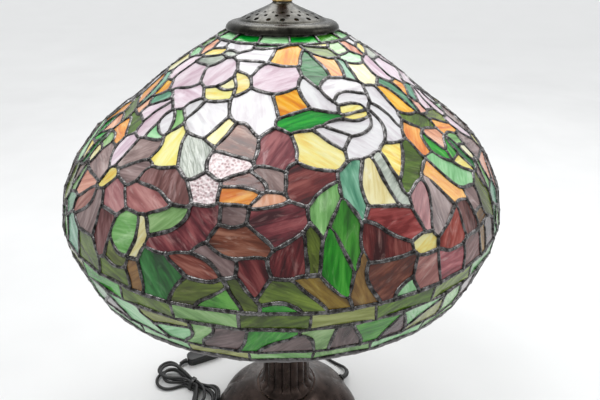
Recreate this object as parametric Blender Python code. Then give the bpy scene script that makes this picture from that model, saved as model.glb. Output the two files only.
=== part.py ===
"""Leaded-glass table lamp: a domed flower shade on a reeded cast base, with an in-line switch on its lead.

The scene is in metres, +Z up. The origin is the centre of the felt pad on the table, and +Z is the lamp's
axis. The switch and the tied bundle of cord lie on the table behind and to the left (-X) of the foot.
Lengths below are in millimetres unless they are multiplied by MM.
"""
import math

import bmesh
import bpy
from mathutils import Matrix, Vector

MM = 0.001
GAP = 0.3 * MM  # clearance between touching pieces

# Shade: radius and height of its outer face from the rim up, and the outline's points that each row spans.
SHADE_WALL = 4.0
SHADE_SIDES = 56  # two sides for each of the 28 tiles of a row
SHADE_OUTLINE = [
    (215.5, 319.2), (219.2, 330.3), (223.9, 344.8), (227.4, 359.3), (228.6, 374.2), (227.0, 388.0),
    (216.8, 413.9), (193.0, 445.4), (149.8, 476.8), (108.2, 508.2), (64.6, 534.2), (56.5, 538.8),
    (50.2, 539.6),
]
SHADE_ROWS = {
    "shade_rim_row": (0, 1, "green_glass"),
    "shade_wave_belt": (1, 3, "wave_glass"),
    "shade_upper_belt": (3, 4, "green_glass"),
    "shade_lower_flowers": (4, 6, "flower_glass"),
    "shade_middle_flowers": (6, 8, "flower_glass"),
    "shade_upper_flowers": (8, 10, "flower_glass"),
    "shade_top_row": (10, 12, "green_glass"),
}
RIM_WIRE_RADIUS = 1.6 * MM
TOP_RING = (44.5, 48.3, 536.3, 545.0)  # inner and outer radius, bottom and top

# Base.
FELT_TOP = 2.5
FOOT_OUTLINE = [
    (102.0, 2.8), (102.6, 7.0), (100.6, 12.5), (95.0, 20.5), (86.0, 29.5), (74.0, 39.0),
    (60.0, 49.5), (48.5, 58.5), (41.0, 66.0),
]
FOOT_WALL = 3.5
FOOT_LOBES = 8
LOBE_DEPTH = 0.018
COLUMN_OUTLINE = [
    (39.0, 66.3), (36.4, 71.0), (32.6, 82.0), (30.8, 130.0), (26.4, 276.0), (28.5, 292.0),
    (33.5, 303.0), (34.0, 309.0), (30.0, 316.0),
]
REEDS = 16
REED_DEPTH = 0.075
ROUND_SIDES = 48  # a multiple of both the reeds and the lobes

# Rod and lamp holders.
ROD_RADIUS = 4.9
ROD_BORE = 3.4
ROD_HOLE = 5.3  # hole that clears the rod
NUT_HOLE = 6.1  # corner radius of the six-sided hole in a nut, whose flats clear the rod
ROD_SPAN = (14.0, 580.0)
RISER_TOP = 527.0
SOCKET_TILT = math.radians(60.0)  # from the lamp's axis
SOCKET_HUB = Vector((0.0, 0.0, 350.0 * MM))  # where both socket axes meet the lamp's axis

# Half sections along a lamp holder's axis: radius and distance from the hub.
SOCKET_SECTION = [(0, 36), (9, 36), (17, 41), (19, 47), (19, 84), (15.4, 84), (15.4, 52), (0, 52)]
BULB_OUTLINE = [
    (0, 82), (13.4, 82), (14.2, 88), (18, 98), (26, 112), (30, 124),
    (30, 134), (26, 147), (16, 157), (0, 161),
]

# Cap and finial.
CAP_OUTLINE = [
    (55.3, 540.2), (55.0, 543.2), (52.6, 546.6), (46.0, 548.6), (43.2, 548.5), (41.6, 550.2),
    (30.0, 555.2), (18.0, 560.0), (10.5, 563.4), (9.4, 564.8),
]
CAP_WALL = 1.3
CAP_SIDES = 36
VENTS = 18  # holes in the lowest ring of vents
VENT_CENTRE = (36.6, 552.3)
VENT_RADIUS = 2.6

# Lead: the route of the cord, and what is on it.
CORD_RADIUS = 2.25 * MM
CORD_LAID = 2.35  # height of the cord's centre where it lies on the table
GROMMET_ANGLE = math.radians(31.0)
GROMMET_HEIGHT = 12.0
GROMMET_FACE = 103.2  # distance of the grommet's outer face from the lamp's axis
SLEEVE_POINTS = [(88.9, 53.4, 12.0), (93.8, 57.6, 11.3), (97.2, 64.6, 9.6), (97.6, 71.8, 7.4)]
SLEEVE_RADII = (3.7, 2.9)
BASE_LEAD_ROUTE = [
    (97.5, 72.4, 7.2), (94.9, 80.6, 4.8), (88.4, 87.6, 3.0), (78.0, 96.0, 2.35), (65.0, 108.0, 2.35),
    (49.0, 124.0, 2.35), (28.0, 139.0, 2.35), (2.0, 148.5, 2.35), (-27.0, 152.0, 2.35),
    (-56.0, 148.0, 2.5), (-80.0, 138.6, 3.9), (-95.0, 131.9, 5.9), (-108.1, 126.2, 6.5),
]
SWITCH_CENTRE = (-136.0, 114.0)
SWITCH_ANGLE = math.radians(23.5)
SWITCH_SIZE = (60.0, 20.0, 14.0)
SWITCH_WALL = 1.6
ROCKER_PIVOT_HEIGHT = 9.5
ROCKER_REST = math.radians(7.0)
SWITCH_LEAD_ROUTE = [(-164.2, 101.8, 6.5), (-169.8, 99.0, 6.3), (-174.4, 95.6, 5.6)]
TIE_CENTRE = (-146.0, 53.0)
TIE_ANGLE = math.radians(-35.0)  # the way the bundle runs through its tie
HANK_SPAN = (1.5, 13.0)
HANK_OUTLINE = [
    (-144.1, 62.7), (-137.5, 58.1), (-122.0, 60.5), (-108.0, 58.5), (-101.8, 50.0), (-102.8, 28.0),
    (-107.5, 6.0), (-114.0, -5.0), (-124.0, -8.0), (-133.5, -2.0), (-138.0, 12.0), (-141.5, 32.0),
    (-147.9, 43.3), (-154.5, 47.9), (-170.0, 43.5), (-190.0, 45.0), (-204.0, 53.5), (-210.0, 66.0),
    (-208.5, 84.0), (-202.0, 97.0), (-191.0, 101.5), (-179.5, 95.5), (-167.0, 84.5), (-153.5, 70.0),
]
TAIL_ROUTE = [
    (-140.4, 8.0, 2.35), (-147.5, -1.0, 2.6), (-154.0, -8.5, 4.6), (-157.6, -16.0, 6.6),
    (-158.0, -20.0, 7.0), (-158.0, -23.6, 7.0),
]
PLUG_FACE = (-158.0, -24.0)  # where the cord enters the plug, which points along -Y
PLUG_SIZE = (34.0, 38.0, 13.6)
PLUG_PINS = (18.6, 2.0, 19.0)  # spacing, radius, length


def clear_scene():
    for obj in list(bpy.data.objects):
        bpy.data.objects.remove(obj, do_unlink=True)


def material(name, colour, roughness, metallic=0.0):
    mat = bpy.data.materials.new(name)
    mat.use_nodes = True
    shader = mat.node_tree.nodes["Principled BSDF"]
    shader.inputs["Base Color"].default_value = (*colour, 1.0)
    shader.inputs["Roughness"].default_value = roughness
    shader.inputs["Metallic"].default_value = metallic
    return mat


def finish(name, bm, mat, smooth=True):
    """Turns a bmesh into a scene object with its faces pointing out."""
    bmesh.ops.remove_doubles(bm, verts=bm.verts, dist=1e-6)
    bmesh.ops.recalc_face_normals(bm, faces=bm.faces)
    mesh = bpy.data.meshes.new(name)
    bm.to_mesh(mesh)
    bm.free()
    mesh.materials.append(mat)
    if smooth:
        mesh.shade_smooth()
        mesh.set_sharp_from_angle(angle=math.radians(35))
    obj = bpy.data.objects.new(name, mesh)
    bpy.context.scene.collection.objects.link(obj)
    return obj


def turned(name, section, sides, mat, warp=None):
    """A body spun about Z from its half section, a closed loop of (radius, height) in millimetres."""
    bm = bmesh.new()
    verts = [bm.verts.new((r * MM, 0.0, z * MM)) for r, z in section]
    edges = [bm.edges.new((a, b)) for a, b in zip(verts, verts[1:] + verts[:1]) if a.co.x + b.co.x > 1e-9]
    bmesh.ops.spin(bm, geom=verts + edges, axis=(0, 0, 1), cent=(0, 0, 0), angle=math.tau, steps=sides)
    if warp:
        for v in bm.verts:
            radius = math.hypot(v.co.x, v.co.y)
            if radius > 1e-6:
                v.co.xy *= warp(radius / MM, v.co.z / MM, math.atan2(v.co.y, v.co.x))
    return finish(name, bm, mat)


def inward(outline, wall):
    """The outline moved towards the inside of its shell by the wall, both from the bottom up."""
    moved = []
    for i, (r, z) in enumerate(outline):
        (r0, z0), (r1, z1) = outline[max(i - 1, 0)], outline[min(i + 1, len(outline) - 1)]
        length = math.hypot(r1 - r0, z1 - z0)
        moved.append((r - wall * (z1 - z0) / length, z + wall * (r1 - r0) / length))
    return moved


def trimmed(line, trim):
    """The line with each of its two ends cut back by trim."""
    line = [tuple(p) for p in line]
    for end, beside in ((0, 1), (-1, -2)):
        (r0, z0), (r1, z1) = line[end], line[beside]
        length = math.hypot(r1 - r0, z1 - z0)
        line[end] = (r0 + trim * (r1 - r0) / length, z0 + trim * (z1 - z0) / length)
    return line


def box(name, size, centre, mat, bevel=0.0):
    """A box of a size and centre in millimetres, its edges rounded off by bevel."""
    bm = bmesh.new()
    frame = Matrix.Translation(Vector(centre) * MM) @ Matrix.Diagonal((*(Vector(size) * MM), 1.0))
    bmesh.ops.create_cube(bm, size=1.0, matrix=frame)
    if bevel:
        bmesh.ops.bevel(bm, geom=bm.edges[:], offset=bevel * MM, segments=1, affect="EDGES")
    return finish(name, bm, mat)


def prism(name, outline, bottom, top, mat, bevel=0.0):
    """An outline of (x, y) points drawn up from bottom to top, its upper and lower edges rounded off."""
    bm = bmesh.new()
    face = bm.faces.new([bm.verts.new((x * MM, y * MM, bottom * MM)) for x, y in outline])
    risen = bmesh.ops.extrude_face_region(bm, geom=[face])["geom"]
    for v in (g for g in risen if isinstance(g, bmesh.types.BMVert)):
        v.co.z = top * MM
    if bevel:
        rims = [e for e in bm.edges if abs(e.verts[0].co.z - e.verts[1].co.z) < 1e-7]
        bmesh.ops.bevel(bm, geom=rims, offset=bevel * MM, segments=1, affect="EDGES")
    return finish(name, bm, mat)


def cut(obj, cutter):
    """Takes the cutter's shape out of the object."""
    cutter.hide_render = True
    cutter.display_type = "WIRE"
    hole = obj.modifiers.new("cut", "BOOLEAN")
    hole.operation = "DIFFERENCE"
    hole.solver = "EXACT"
    hole.object = cutter


def joined(name, parts):
    """One cutter made of several separate solids, such as a ring of holes."""
    bm = bmesh.new()
    for part in parts:
        part.data.transform(part.matrix_world)
        bm.from_mesh(part.data)
    mat = parts[0].data.materials[0]
    for part in parts:
        bpy.data.objects.remove(part, do_unlink=True)
    return finish(name, bm, mat)


def smooth_route(points, step):
    """Points about a step apart on a smooth curve through the route's own points."""
    knots = [Vector(p) * MM for p in points]
    knots = [2 * knots[0] - knots[1], *knots, 2 * knots[-1] - knots[-2]]
    fine = []
    for a, b, c, d in zip(knots, knots[1:], knots[2:], knots[3:]):
        for i in range(16):
            t = i / 16
            bend = (2 * a - 5 * b + 4 * c - d) * t**2 + (3 * b - a - 3 * c + d) * t**3
            fine.append(0.5 * (2 * b + (c - a) * t + bend))
    fine.append(knots[-2])
    total = sum((q - p).length for p, q in zip(fine, fine[1:]))
    count = max(3, round(total / (step * MM)))
    route, gone, wanted = [fine[0]], 0.0, total / count
    for p, q in zip(fine, fine[1:]):
        gone += (q - p).length
        if gone >= wanted * len(route) and len(route) < count:
            route.append(q)
    return [*route, fine[-1]]


def tube(name, points, radius, mat, step=10.0, radii=None, bevel_resolution=2):
    """A round tube along a route; radii, if given, is its first and last radius in millimetres."""
    route = smooth_route(points, step)
    curve = bpy.data.curves.new(name, "CURVE")
    curve.dimensions = "3D"
    curve.bevel_depth = radius
    curve.bevel_resolution = bevel_resolution
    curve.use_fill_caps = True
    spline = curve.splines.new("POLY")
    spline.points.add(len(route) - 1)
    for i, (point, place) in enumerate(zip(spline.points, route)):
        point.co = (*place, 1.0)
        if radii:
            share = i / (len(route) - 1)
            point.radius = (radii[0] + (radii[1] - radii[0]) * share) * MM / radius
    curve.materials.append(mat)
    obj = bpy.data.objects.new(name, curve)
    bpy.context.scene.collection.objects.link(obj)
    return obj


def reeded(radius, height, angle):
    """Rounded vertical reeds around the column's outer face."""
    if radius < 24.0 or height < 68.0:
        return 1.0
    return 1.0 - REED_DEPTH * (1.0 - abs(math.cos(REEDS / 2 * angle)))


def lobed(radius, height, angle):
    """Broad lobes that deepen towards the foot's edge."""
    reach = min(1.0, max(0.0, (radius - 44.0) / 40.0))
    return 1.0 + LOBE_DEPTH * reach * math.cos(FOOT_LOBES * angle)


def build_base(mats):
    turned("felt_pad", [(0, 0), (98, 0), (98, FELT_TOP), (0, FELT_TOP)], 36, mats["felt"])
    turned("bottom_plate", [(12, 2.8), (93, 2.8), (93, 4.2), (12, 4.2)], 32, mats["steel"])
    hollow = inward(FOOT_OUTLINE, FOOT_WALL)[2:-2:2]
    top = FOOT_OUTLINE[-1][1]
    neck = [(ROD_HOLE, top), (ROD_HOLE, top - 4), (41.5, top - 4)]
    section = FOOT_OUTLINE + neck + hollow[::-1] + [(98.4, 2.8)]
    foot = turned("foot_casting", section, ROUND_SIDES, mats["bronze"], lobed)
    cutter = turned("grommet_hole", [(0, 84), (4.4, 84), (4.4, 112), (0, 112)], 16, mats["bronze"])
    cutter.matrix_world = along_grommet(0.0)
    cut(foot, cutter)
    weight = [(ROD_HOLE, 25), (64, 25), (68, 30), (44, 50), (30, 61.4), (ROD_HOLE, 61.4)]
    turned("base_weight", weight, 28, mats["iron"])
    turned("bottom_washer", [(ROD_HOLE, 23), (14, 23), (14, 24.6), (ROD_HOLE, 24.6)], 24, mats["steel"])
    turned("bottom_nut", [(NUT_HOLE, 17), (9, 17), (9, 22.6), (NUT_HOLE, 22.6)], 6, mats["steel"])
    bore = [(ROD_HOLE, 316.0), (ROD_HOLE, 311.0), (21.0, 311.0)]
    section = COLUMN_OUTLINE + bore + [(21.0, 276.0), (27.0, 82.0), (33.0, 66.3)]
    turned("column_casting", section, ROUND_SIDES, mats["bronze"], reeded)
    collar = [(ROD_HOLE, 316.3), (24, 316.3), (24, 319), (16, 323), (12.5, 330), (ROD_HOLE, 330)]
    turned("column_collar", collar, 24, mats["bronze"])
    neck = [(ROD_HOLE, 330.3), (8, 330.3), (8, 344.7), (ROD_HOLE, 344.7)]
    turned("neck_tube", neck, 24, mats["brass"])
    low, high = ROD_SPAN
    rod = [(ROD_BORE, low), (ROD_RADIUS, low), (ROD_RADIUS, high), (ROD_BORE, high)]
    turned("threaded_rod", rod, 16, mats["steel"])


def along_grommet(distance):
    """The frame whose +Z leaves the foot through the grommet, that far from the lamp's axis."""
    way = Vector((math.cos(GROMMET_ANGLE), math.sin(GROMMET_ANGLE), 0.0))
    place = way * distance * MM + Vector((0, 0, GROMMET_HEIGHT * MM))
    return Matrix.Translation(place) @ way.to_track_quat("Z", "Y").to_matrix().to_4x4()


def socket_frame(side):
    """The frame of one lamp holder: +Z is its axis, away from the hub. side is -1 or 1 along X."""
    way = Vector((side * math.sin(SOCKET_TILT), 0.0, math.cos(SOCKET_TILT)))
    return Matrix.Translation(SOCKET_HUB) @ way.to_track_quat("Z", "Y").to_matrix().to_4x4()


def build_lamp_holders(mats):
    cluster = [(ROD_HOLE, 345), (16, 345), (20, 348.5), (20, 369), (13, 375), (ROD_HOLE, 376)]
    turned("cluster_body", cluster, 24, mats["brass"])
    riser = [(ROD_HOLE, 376.3), (6.6, 376.3), (6.6, RISER_TOP), (ROD_HOLE, RISER_TOP)]
    turned("riser_tube", riser, 20, mats["brass"])
    seat = RISER_TOP + 0.3
    turned("seat_nut", [(NUT_HOLE, seat), (9, seat), (9, seat + 4), (NUT_HOLE, seat + 4)], 6, mats["brass"])
    washer = [(ROD_HOLE, seat + 4.3), (13, seat + 4.3), (13, seat + 5.6), (ROD_HOLE, seat + 5.6)]
    turned("seat_washer", washer, 24, mats["brass"])
    for side, word in ((-1, "left"), (1, "right")):
        frame = socket_frame(side)
        nipple = [(2.5, 26.6), (5, 26.6), (5, 35.7), (2.5, 35.7)]
        contact = [(0, 52.3), (10, 52.3), (8, 54.5), (0, 54.5)]
        pieces = [
            turned(f"socket_nipple_{word}", nipple, 16, mats["brass"]),
            turned(
                f"socket_shell_{word}",
                SOCKET_SECTION,
                24, mats["brass"],
            ),
            turned(f"socket_contact_{word}", contact, 16, mats["brass"]),
            turned(
                f"bulb_base_{word}",
                [(0, 55), (5, 55), (8, 57.5), (13.2, 60), (13.2, 81.7), (0, 81.7)],
                24, mats["screw_shell"],
            ),
            turned(
                f"bulb_glass_{word}",
                BULB_OUTLINE,
                24, mats["frosted_glass"],
            ),
        ]
        for piece in pieces:
            piece.matrix_world = frame


def build_shade(mats):
    inner = inward(SHADE_OUTLINE, SHADE_WALL)
    for name, (first, last, glass) in SHADE_ROWS.items():
        outside = trimmed(SHADE_OUTLINE[first:last + 1], GAP / MM / 2)
        inside = trimmed(inner[first:last + 1], GAP / MM / 2)
        turned(name, outside + inside[::-1], SHADE_SIDES, mats[glass])
    r, z = SHADE_OUTLINE[0]
    wire_radius = RIM_WIRE_RADIUS / MM
    centre = (r - SHADE_WALL / 2 - 0.4, z - wire_radius - 1.0)
    corners = ((1, 0), (0, 1), (-1, 0), (0, -1))
    ring = [(centre[0] + wire_radius * dr, centre[1] + wire_radius * dz) for dr, dz in corners]
    turned("shade_rim_wire", ring, SHADE_SIDES, mats["solder"])
    low_r, high_r, low_z, high_z = TOP_RING
    band = [(low_r, low_z), (high_r, low_z), (high_r, high_z), (low_r, high_z)]
    turned("shade_top_ring", band, 40, mats["brass"])
    build_spider(mats, low_z - GAP / MM)


def build_spider(mats, top):
    """The three-armed carrier under the shade's top ring, with the hub that drops over the rod."""
    bottom = top - 2.6
    hub_radius, ring_inner, ring_outer, arm_half = 12.0, 42.0, 47.6, 3.5
    arms = 3
    outer_angle, inner_angle = math.asin(arm_half / ring_inner), math.asin(arm_half / hub_radius)
    section = [(ROD_HOLE, bottom), (ring_outer, bottom), (ring_outer, top), (ROD_HOLE, top)]
    wheel = turned("shade_spider", section, 36, mats["brass"])
    for arm in range(arms):
        middle = math.tau * (arm + 0.5) / arms
        half = math.pi / arms
        outer = [middle - half + outer_angle + (2 * half - 2 * outer_angle) * i / 8 for i in range(9)]
        inner = [middle + half - inner_angle - (2 * half - 2 * inner_angle) * i / 4 for i in range(5)]
        window = [(ring_inner * math.cos(a), ring_inner * math.sin(a)) for a in outer]
        window += [(hub_radius * math.cos(a), hub_radius * math.sin(a)) for a in inner]
        cut(wheel, prism(f"spider_window_{arm}", window, bottom - 2, top + 2, mats["brass"]))


def build_cap_and_finial(mats):
    hollow = inward(CAP_OUTLINE, CAP_WALL)[:-2]
    hollow[0] = (CAP_OUTLINE[0][0] - CAP_WALL, CAP_OUTLINE[0][1])
    top = CAP_OUTLINE[-1][1]
    section = CAP_OUTLINE + [(ROD_HOLE, top), (ROD_HOLE, top - 2.2), *hollow[::-1]]
    cap = turned("heat_cap", section, CAP_SIDES, mats["bronze"])
    holes = []
    radius, height = VENT_CENTRE
    for i in range(VENTS):
        angle = math.tau * i / VENTS
        vent = turned("vent", [(0, -6), (VENT_RADIUS, -6), (VENT_RADIUS, 6), (0, 6)], 6, mats["bronze"])
        vent.location = (radius * MM * math.cos(angle), radius * MM * math.sin(angle), height * MM)
        vent.rotation_euler = (0, math.radians(23), angle)
        holes.append(vent)
    bpy.context.view_layer.update()
    cut(cap, joined("cap_vents", holes))
    ring_bottom = top + 0.3
    ring_top = ring_bottom + 2.2
    outer = [(9.6, ring_bottom), (9.8, ring_top - 0.8), (8.6, ring_top)]
    ring = [(ROD_HOLE, ring_bottom), *outer, (ROD_HOLE, ring_top)]
    turned("finial_washer", ring, 20, mats["brass"])
    low = ring_top + 0.3
    finial = [
        (ROD_HOLE, low), (6.6, low), (6.0, low + 4), (6.2, low + 9), (8.6, low + 12), (9.8, low + 17),
        (9.0, low + 22), (6.0, low + 27), (3.0, low + 31), (3.4, low + 34), (0, low + 37),
        (0, ROD_SPAN[1] + 3), (ROD_HOLE, ROD_SPAN[1] + 3),
    ]
    turned("finial", finial, 20, mats["copper"])


def switch_frame(height=0.0):
    place = Vector((*SWITCH_CENTRE, height)) * MM
    return Matrix.Translation(place) @ Matrix.Rotation(SWITCH_ANGLE, 4, "Z")


def stadium(length, width, corner, steps=3):
    """A rectangle with rounded corners, centred on the origin, as (x, y) points."""
    outline = []
    for sx, sy, start in ((1, 1, 0), (-1, 1, 90), (-1, -1, 180), (1, -1, 270)):
        centre = (sx * (length / 2 - corner), sy * (width / 2 - corner))
        for i in range(steps + 1):
            a = math.radians(start + 90 * i / steps)
            outline.append((centre[0] + corner * math.cos(a), centre[1] + corner * math.sin(a)))
    return outline


def build_switch(mats):
    length, width, height = SWITCH_SIZE
    split = height / 2
    outline = stadium(length, width, 8.0)
    hollow = stadium(length - 2 * SWITCH_WALL, width - 2 * SWITCH_WALL, 8.0 - SWITCH_WALL)
    plastic = mats["black_plastic"]
    lower = prism("switch_lower_shell", outline, 0.0, split - 0.15, plastic)
    cut(lower, prism("lower_hollow", hollow, SWITCH_WALL, split + 2, plastic))
    upper = prism("switch_upper_shell", outline, split + 0.15, height, plastic)
    upper_hollow = prism("upper_hollow", hollow, split - 2, height - SWITCH_WALL, plastic)
    window = box("rocker_window", (16.0, 9.4, 8.0), (0, 0, height), plastic)
    cut(upper, upper_hollow)
    cut(upper, window)
    for side, word in ((-1, "left"), (1, "right")):
        hole = turned(f"screw_hole_{word}", [(0, -2), (2.9, -2), (2.9, 4), (0, 4)], 12, plastic)
        cut(lower, hole)
        shank = [(0, 0.6), (2.5, 0.6), (2.5, 2.4), (1.2, 2.4), (1.2, 12.0), (0, 12.0)]
        screw = turned(f"switch_screw_{word}", shank, 12, mats["steel"])
        for piece in (hole, screw):
            piece.matrix_world = switch_frame() @ Matrix.Translation((side * 19.0 * MM, 0, 0))
        contact = box(f"switch_contact_{word}", (9.0, 3.0, 0.8), (side * 8.5, 0, 3.0), mats["brass"])
        contact.matrix_world = switch_frame()
    for piece in (lower, upper, window):
        piece.matrix_world = switch_frame()
    for name in ("lower_hollow", "upper_hollow"):
        bpy.data.objects[name].matrix_world = switch_frame()
    build_rocker(plastic)


def build_rocker(mat):
    """A shallow V-topped rocker, its origin on the axis it rocks about, tipped to its rest stop."""
    half, end_top, middle_top, half_width = 7.2, 4.4, 2.9, 4.3
    side = [
        (half, end_top), (0.0, middle_top), (-half, end_top), (-half, 1.0),
        (-4.0, -3.0), (4.0, -3.0), (half, 1.0),
    ]
    bm = bmesh.new()
    face = bm.faces.new([bm.verts.new((x * MM, -half_width * MM, z * MM)) for x, z in side])
    risen = bmesh.ops.extrude_face_region(bm, geom=[face])["geom"]
    for v in (g for g in risen if isinstance(g, bmesh.types.BMVert)):
        v.co.y = half_width * MM
    rocker = finish("switch_rocker", bm, mat)
    rocker.matrix_world = switch_frame(ROCKER_PIVOT_HEIGHT) @ Matrix.Rotation(ROCKER_REST, 4, "Y")


def build_lead(mats):
    rubber, plastic = mats["cord"], mats["black_plastic"]
    flange = [(0, 92.5), (4.0, 92.5), (4.0, 99.7), (5.8, 99.8), (5.8, 102.2), (4.6, 103.2), (0, 103.2)]
    grommet = turned("cord_grommet", [(r, z - GROMMET_FACE) for r, z in flange], 20, plastic)
    grommet.matrix_world = along_grommet(GROMMET_FACE)
    cutter = bpy.data.objects["grommet_hole"]
    foot = bpy.data.objects["foot_casting"]
    seat = turned("grommet_seat", [(0, 99.3), (6.2, 99.3), (6.2, 112), (0, 112)], 20, plastic)
    seat.matrix_world = cutter.matrix_world
    cut(foot, seat)
    tube("strain_relief", SLEEVE_POINTS, SLEEVE_RADII[0] * MM, plastic, 4.0, SLEEVE_RADII, 3)
    tube("base_lead", BASE_LEAD_ROUTE, CORD_RADIUS, rubber)
    tube("switch_lead", SWITCH_LEAD_ROUTE, CORD_RADIUS, rubber, 5.0)
    tube("tail_lead", TAIL_ROUTE, CORD_RADIUS, rubber, 6.0)
    inner = Vector((math.cos(GROMMET_ANGLE), math.sin(GROMMET_ANGLE)))
    along_foot = ((92.0, 12.0), (80.0, 11.4), (60.0, 9.6), (40.0, 8.2), (22.0, 7.4), (9.0, 7.8), (1.8, 12.6))
    route = [(*(inner * r), z) for r, z in along_foot]
    route += [(0.0, 0.0, 22.0), (0.0, 0.0, 120.0), (0.0, 0.0, 340.0)]
    tube("inner_lead", route, 1.9 * MM, rubber, 9.0)
    prism("cord_hank", HANK_OUTLINE, *HANK_SPAN, rubber, 2.0)
    half_width, wall, low, high = 9.9, 1.0, 0.2, 14.4
    band = box("cord_tie", (6.0, 2 * (half_width + wall), high - low), (0, 0, (high + low) / 2), plastic, 0.3)
    inside = HANK_SPAN[1] - HANK_SPAN[0] + 0.7
    opening = box("tie_opening", (12.0, 2 * half_width, inside), (0, 0, sum(HANK_SPAN) / 2), plastic)
    place = Vector((*TIE_CENTRE, 0.0)) * MM
    frame = Matrix.Translation(place) @ Matrix.Rotation(TIE_ANGLE, 4, "Z")
    band.matrix_world = frame
    opening.matrix_world = frame
    cut(band, opening)
    build_plug(mats)


def build_plug(mats):
    """A flat two-pin plug lying on the table, its pins pointing along -Y."""
    width, length, height = PLUG_SIZE
    x, y = PLUG_FACE
    neck = 5.5
    outline = [
        (neck, 0), (neck, -8), (width / 2 - 3, -14), (width / 2, -20), (width / 2, -length),
        (-width / 2, -length), (-width / 2, -20), (3 - width / 2, -14), (-neck, -8), (-neck, 0),
    ]
    prism("plug_body", [(x + px, y + py) for px, py in outline], 0.0, height, mats["black_plastic"], 1.6)
    spacing, radius, reach = PLUG_PINS
    shank = [(0, 0), (radius, 0), (radius, reach - 1.2), (radius - 1, reach), (0, reach)]
    for side, word in ((-1, "left"), (1, "right")):
        pin = turned(f"plug_pin_{word}", shank, 16, mats["steel"])
        place = Vector((x + side * spacing / 2, y - length - 0.3, height / 2)) * MM
        pin.matrix_world = Matrix.Translation(place) @ Matrix.Rotation(math.radians(90), 4, "X")


def main():
    clear_scene()
    mats = {
        "bronze": material("bronze", (0.055, 0.032, 0.026), 0.42, 0.75),
        "brass": material("brass", (0.55, 0.38, 0.14), 0.32, 1.0),
        "copper": material("copper", (0.30, 0.13, 0.06), 0.3, 1.0),
        "steel": material("steel", (0.5, 0.5, 0.5), 0.35, 1.0),
        "iron": material("iron", (0.06, 0.06, 0.06), 0.7, 0.8),
        "felt": material("felt", (0.03, 0.05, 0.03), 0.95),
        "solder": material("solder", (0.16, 0.15, 0.15), 0.35, 1.0),
        "green_glass": material("green_glass", (0.25, 0.42, 0.2), 0.2),
        "wave_glass": material("wave_glass", (0.3, 0.33, 0.24), 0.2),
        "flower_glass": material("flower_glass", (0.35, 0.12, 0.13), 0.2),
        "frosted_glass": material("frosted_glass", (0.9, 0.9, 0.86), 0.5),
        "screw_shell": material("screw_shell", (0.7, 0.7, 0.68), 0.3, 1.0),
        "black_plastic": material("black_plastic", (0.012, 0.012, 0.012), 0.4),
        "cord": material("cord", (0.012, 0.012, 0.012), 0.55),
    }
    build_base(mats)
    build_lamp_holders(mats)
    build_shade(mats)
    build_cap_and_finial(mats)
    build_switch(mats)
    build_lead(mats)


main()
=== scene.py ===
"""Leaded-glass table lamp around the CAD frame: flat pieces of streaky glass in lumpy solder, a vented cap,
a reeded bronze base, and a black lead with its switch, tied bundle and plug. Metres, +Z up, the lamp's axis
is Z and the camera looks from -Y."""
import math

import bmesh
import bpy
import numpy as np
from mathutils import Matrix, Vector


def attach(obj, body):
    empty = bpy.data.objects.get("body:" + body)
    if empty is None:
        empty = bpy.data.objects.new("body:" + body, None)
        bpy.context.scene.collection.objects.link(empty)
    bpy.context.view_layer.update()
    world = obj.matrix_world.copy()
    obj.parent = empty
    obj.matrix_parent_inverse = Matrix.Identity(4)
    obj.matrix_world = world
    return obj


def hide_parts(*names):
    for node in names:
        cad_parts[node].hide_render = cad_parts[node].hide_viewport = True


MM = 0.001
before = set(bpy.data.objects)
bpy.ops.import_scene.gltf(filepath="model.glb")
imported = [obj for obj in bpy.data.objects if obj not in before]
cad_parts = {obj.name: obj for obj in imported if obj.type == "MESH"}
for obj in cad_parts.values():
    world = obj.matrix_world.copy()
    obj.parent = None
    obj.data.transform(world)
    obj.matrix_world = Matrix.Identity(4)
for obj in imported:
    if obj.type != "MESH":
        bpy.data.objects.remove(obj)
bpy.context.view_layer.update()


def add_object(name, data):
    obj = bpy.data.objects.new(name, data)
    bpy.context.scene.collection.objects.link(obj)
    return obj


# ---------------------------------------------------------------- camera
CAMERA_PLACE = (0.0, -0.4948, 0.5972)
CAMERA_TURNS = (26.362, 2.0927, 0.323)  # degrees down, to the right, and of tilt
CAMERA_LENS, CAMERA_SENSOR = 28.59, 36.0


def add_camera():
    """A camera above the shade's rim, looking down at it."""
    pitch, yaw, roll = (math.radians(turn) for turn in CAMERA_TURNS)
    forward = Vector((math.cos(pitch) * math.sin(yaw), math.cos(pitch) * math.cos(yaw), -math.sin(pitch)))
    level = forward.cross(Vector((0, 0, 1))).normalized()
    above = level.cross(forward)
    right = level * math.cos(roll) + above * math.sin(roll)
    up = above * math.cos(roll) - level * math.sin(roll)
    data = bpy.data.cameras.new("camera")
    data.sensor_width = CAMERA_SENSOR
    data.lens = CAMERA_LENS
    data.clip_start = 0.01
    camera = add_object("camera", data)
    basis = Matrix((right, up, -forward)).transposed().to_4x4()
    camera.matrix_world = Matrix.Translation(CAMERA_PLACE) @ basis
    bpy.context.scene.camera = camera


add_camera()


# ---------------------------------------------------------------- making pieces
def smoothed(line, times):
    """A line of points with its wiggles evened out and its ends held."""
    for _ in range(times):
        middle = 0.5 * line[1:-1] + 0.25 * (line[:-2] + line[2:])
        line = np.concatenate([line[:1], middle, line[-1:]])
    return line


def fine_curve(points, steps):
    """A smooth curve through given points, with so many steps from each to the next."""
    knots = [np.array(p, float) for p in points]
    knots = [2 * knots[0] - knots[1], *knots, 2 * knots[-1] - knots[-2]]
    fine = []
    for a, b, c, d in zip(knots, knots[1:], knots[2:], knots[3:]):
        for t in np.linspace(0.0, 1.0, steps, endpoint=False):
            bend = (2 * a - 5 * b + 4 * c - d) * t**2 + (3 * b - a - 3 * c + d) * t**3
            fine.append(0.5 * (2 * b + (c - a) * t + bend))
    return np.array([*fine, knots[-2]])


def run_of(steps):
    """The distance gone at each point of a line, from the length of each of its steps."""
    return np.concatenate([[0.0], np.cumsum(steps)])


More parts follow.
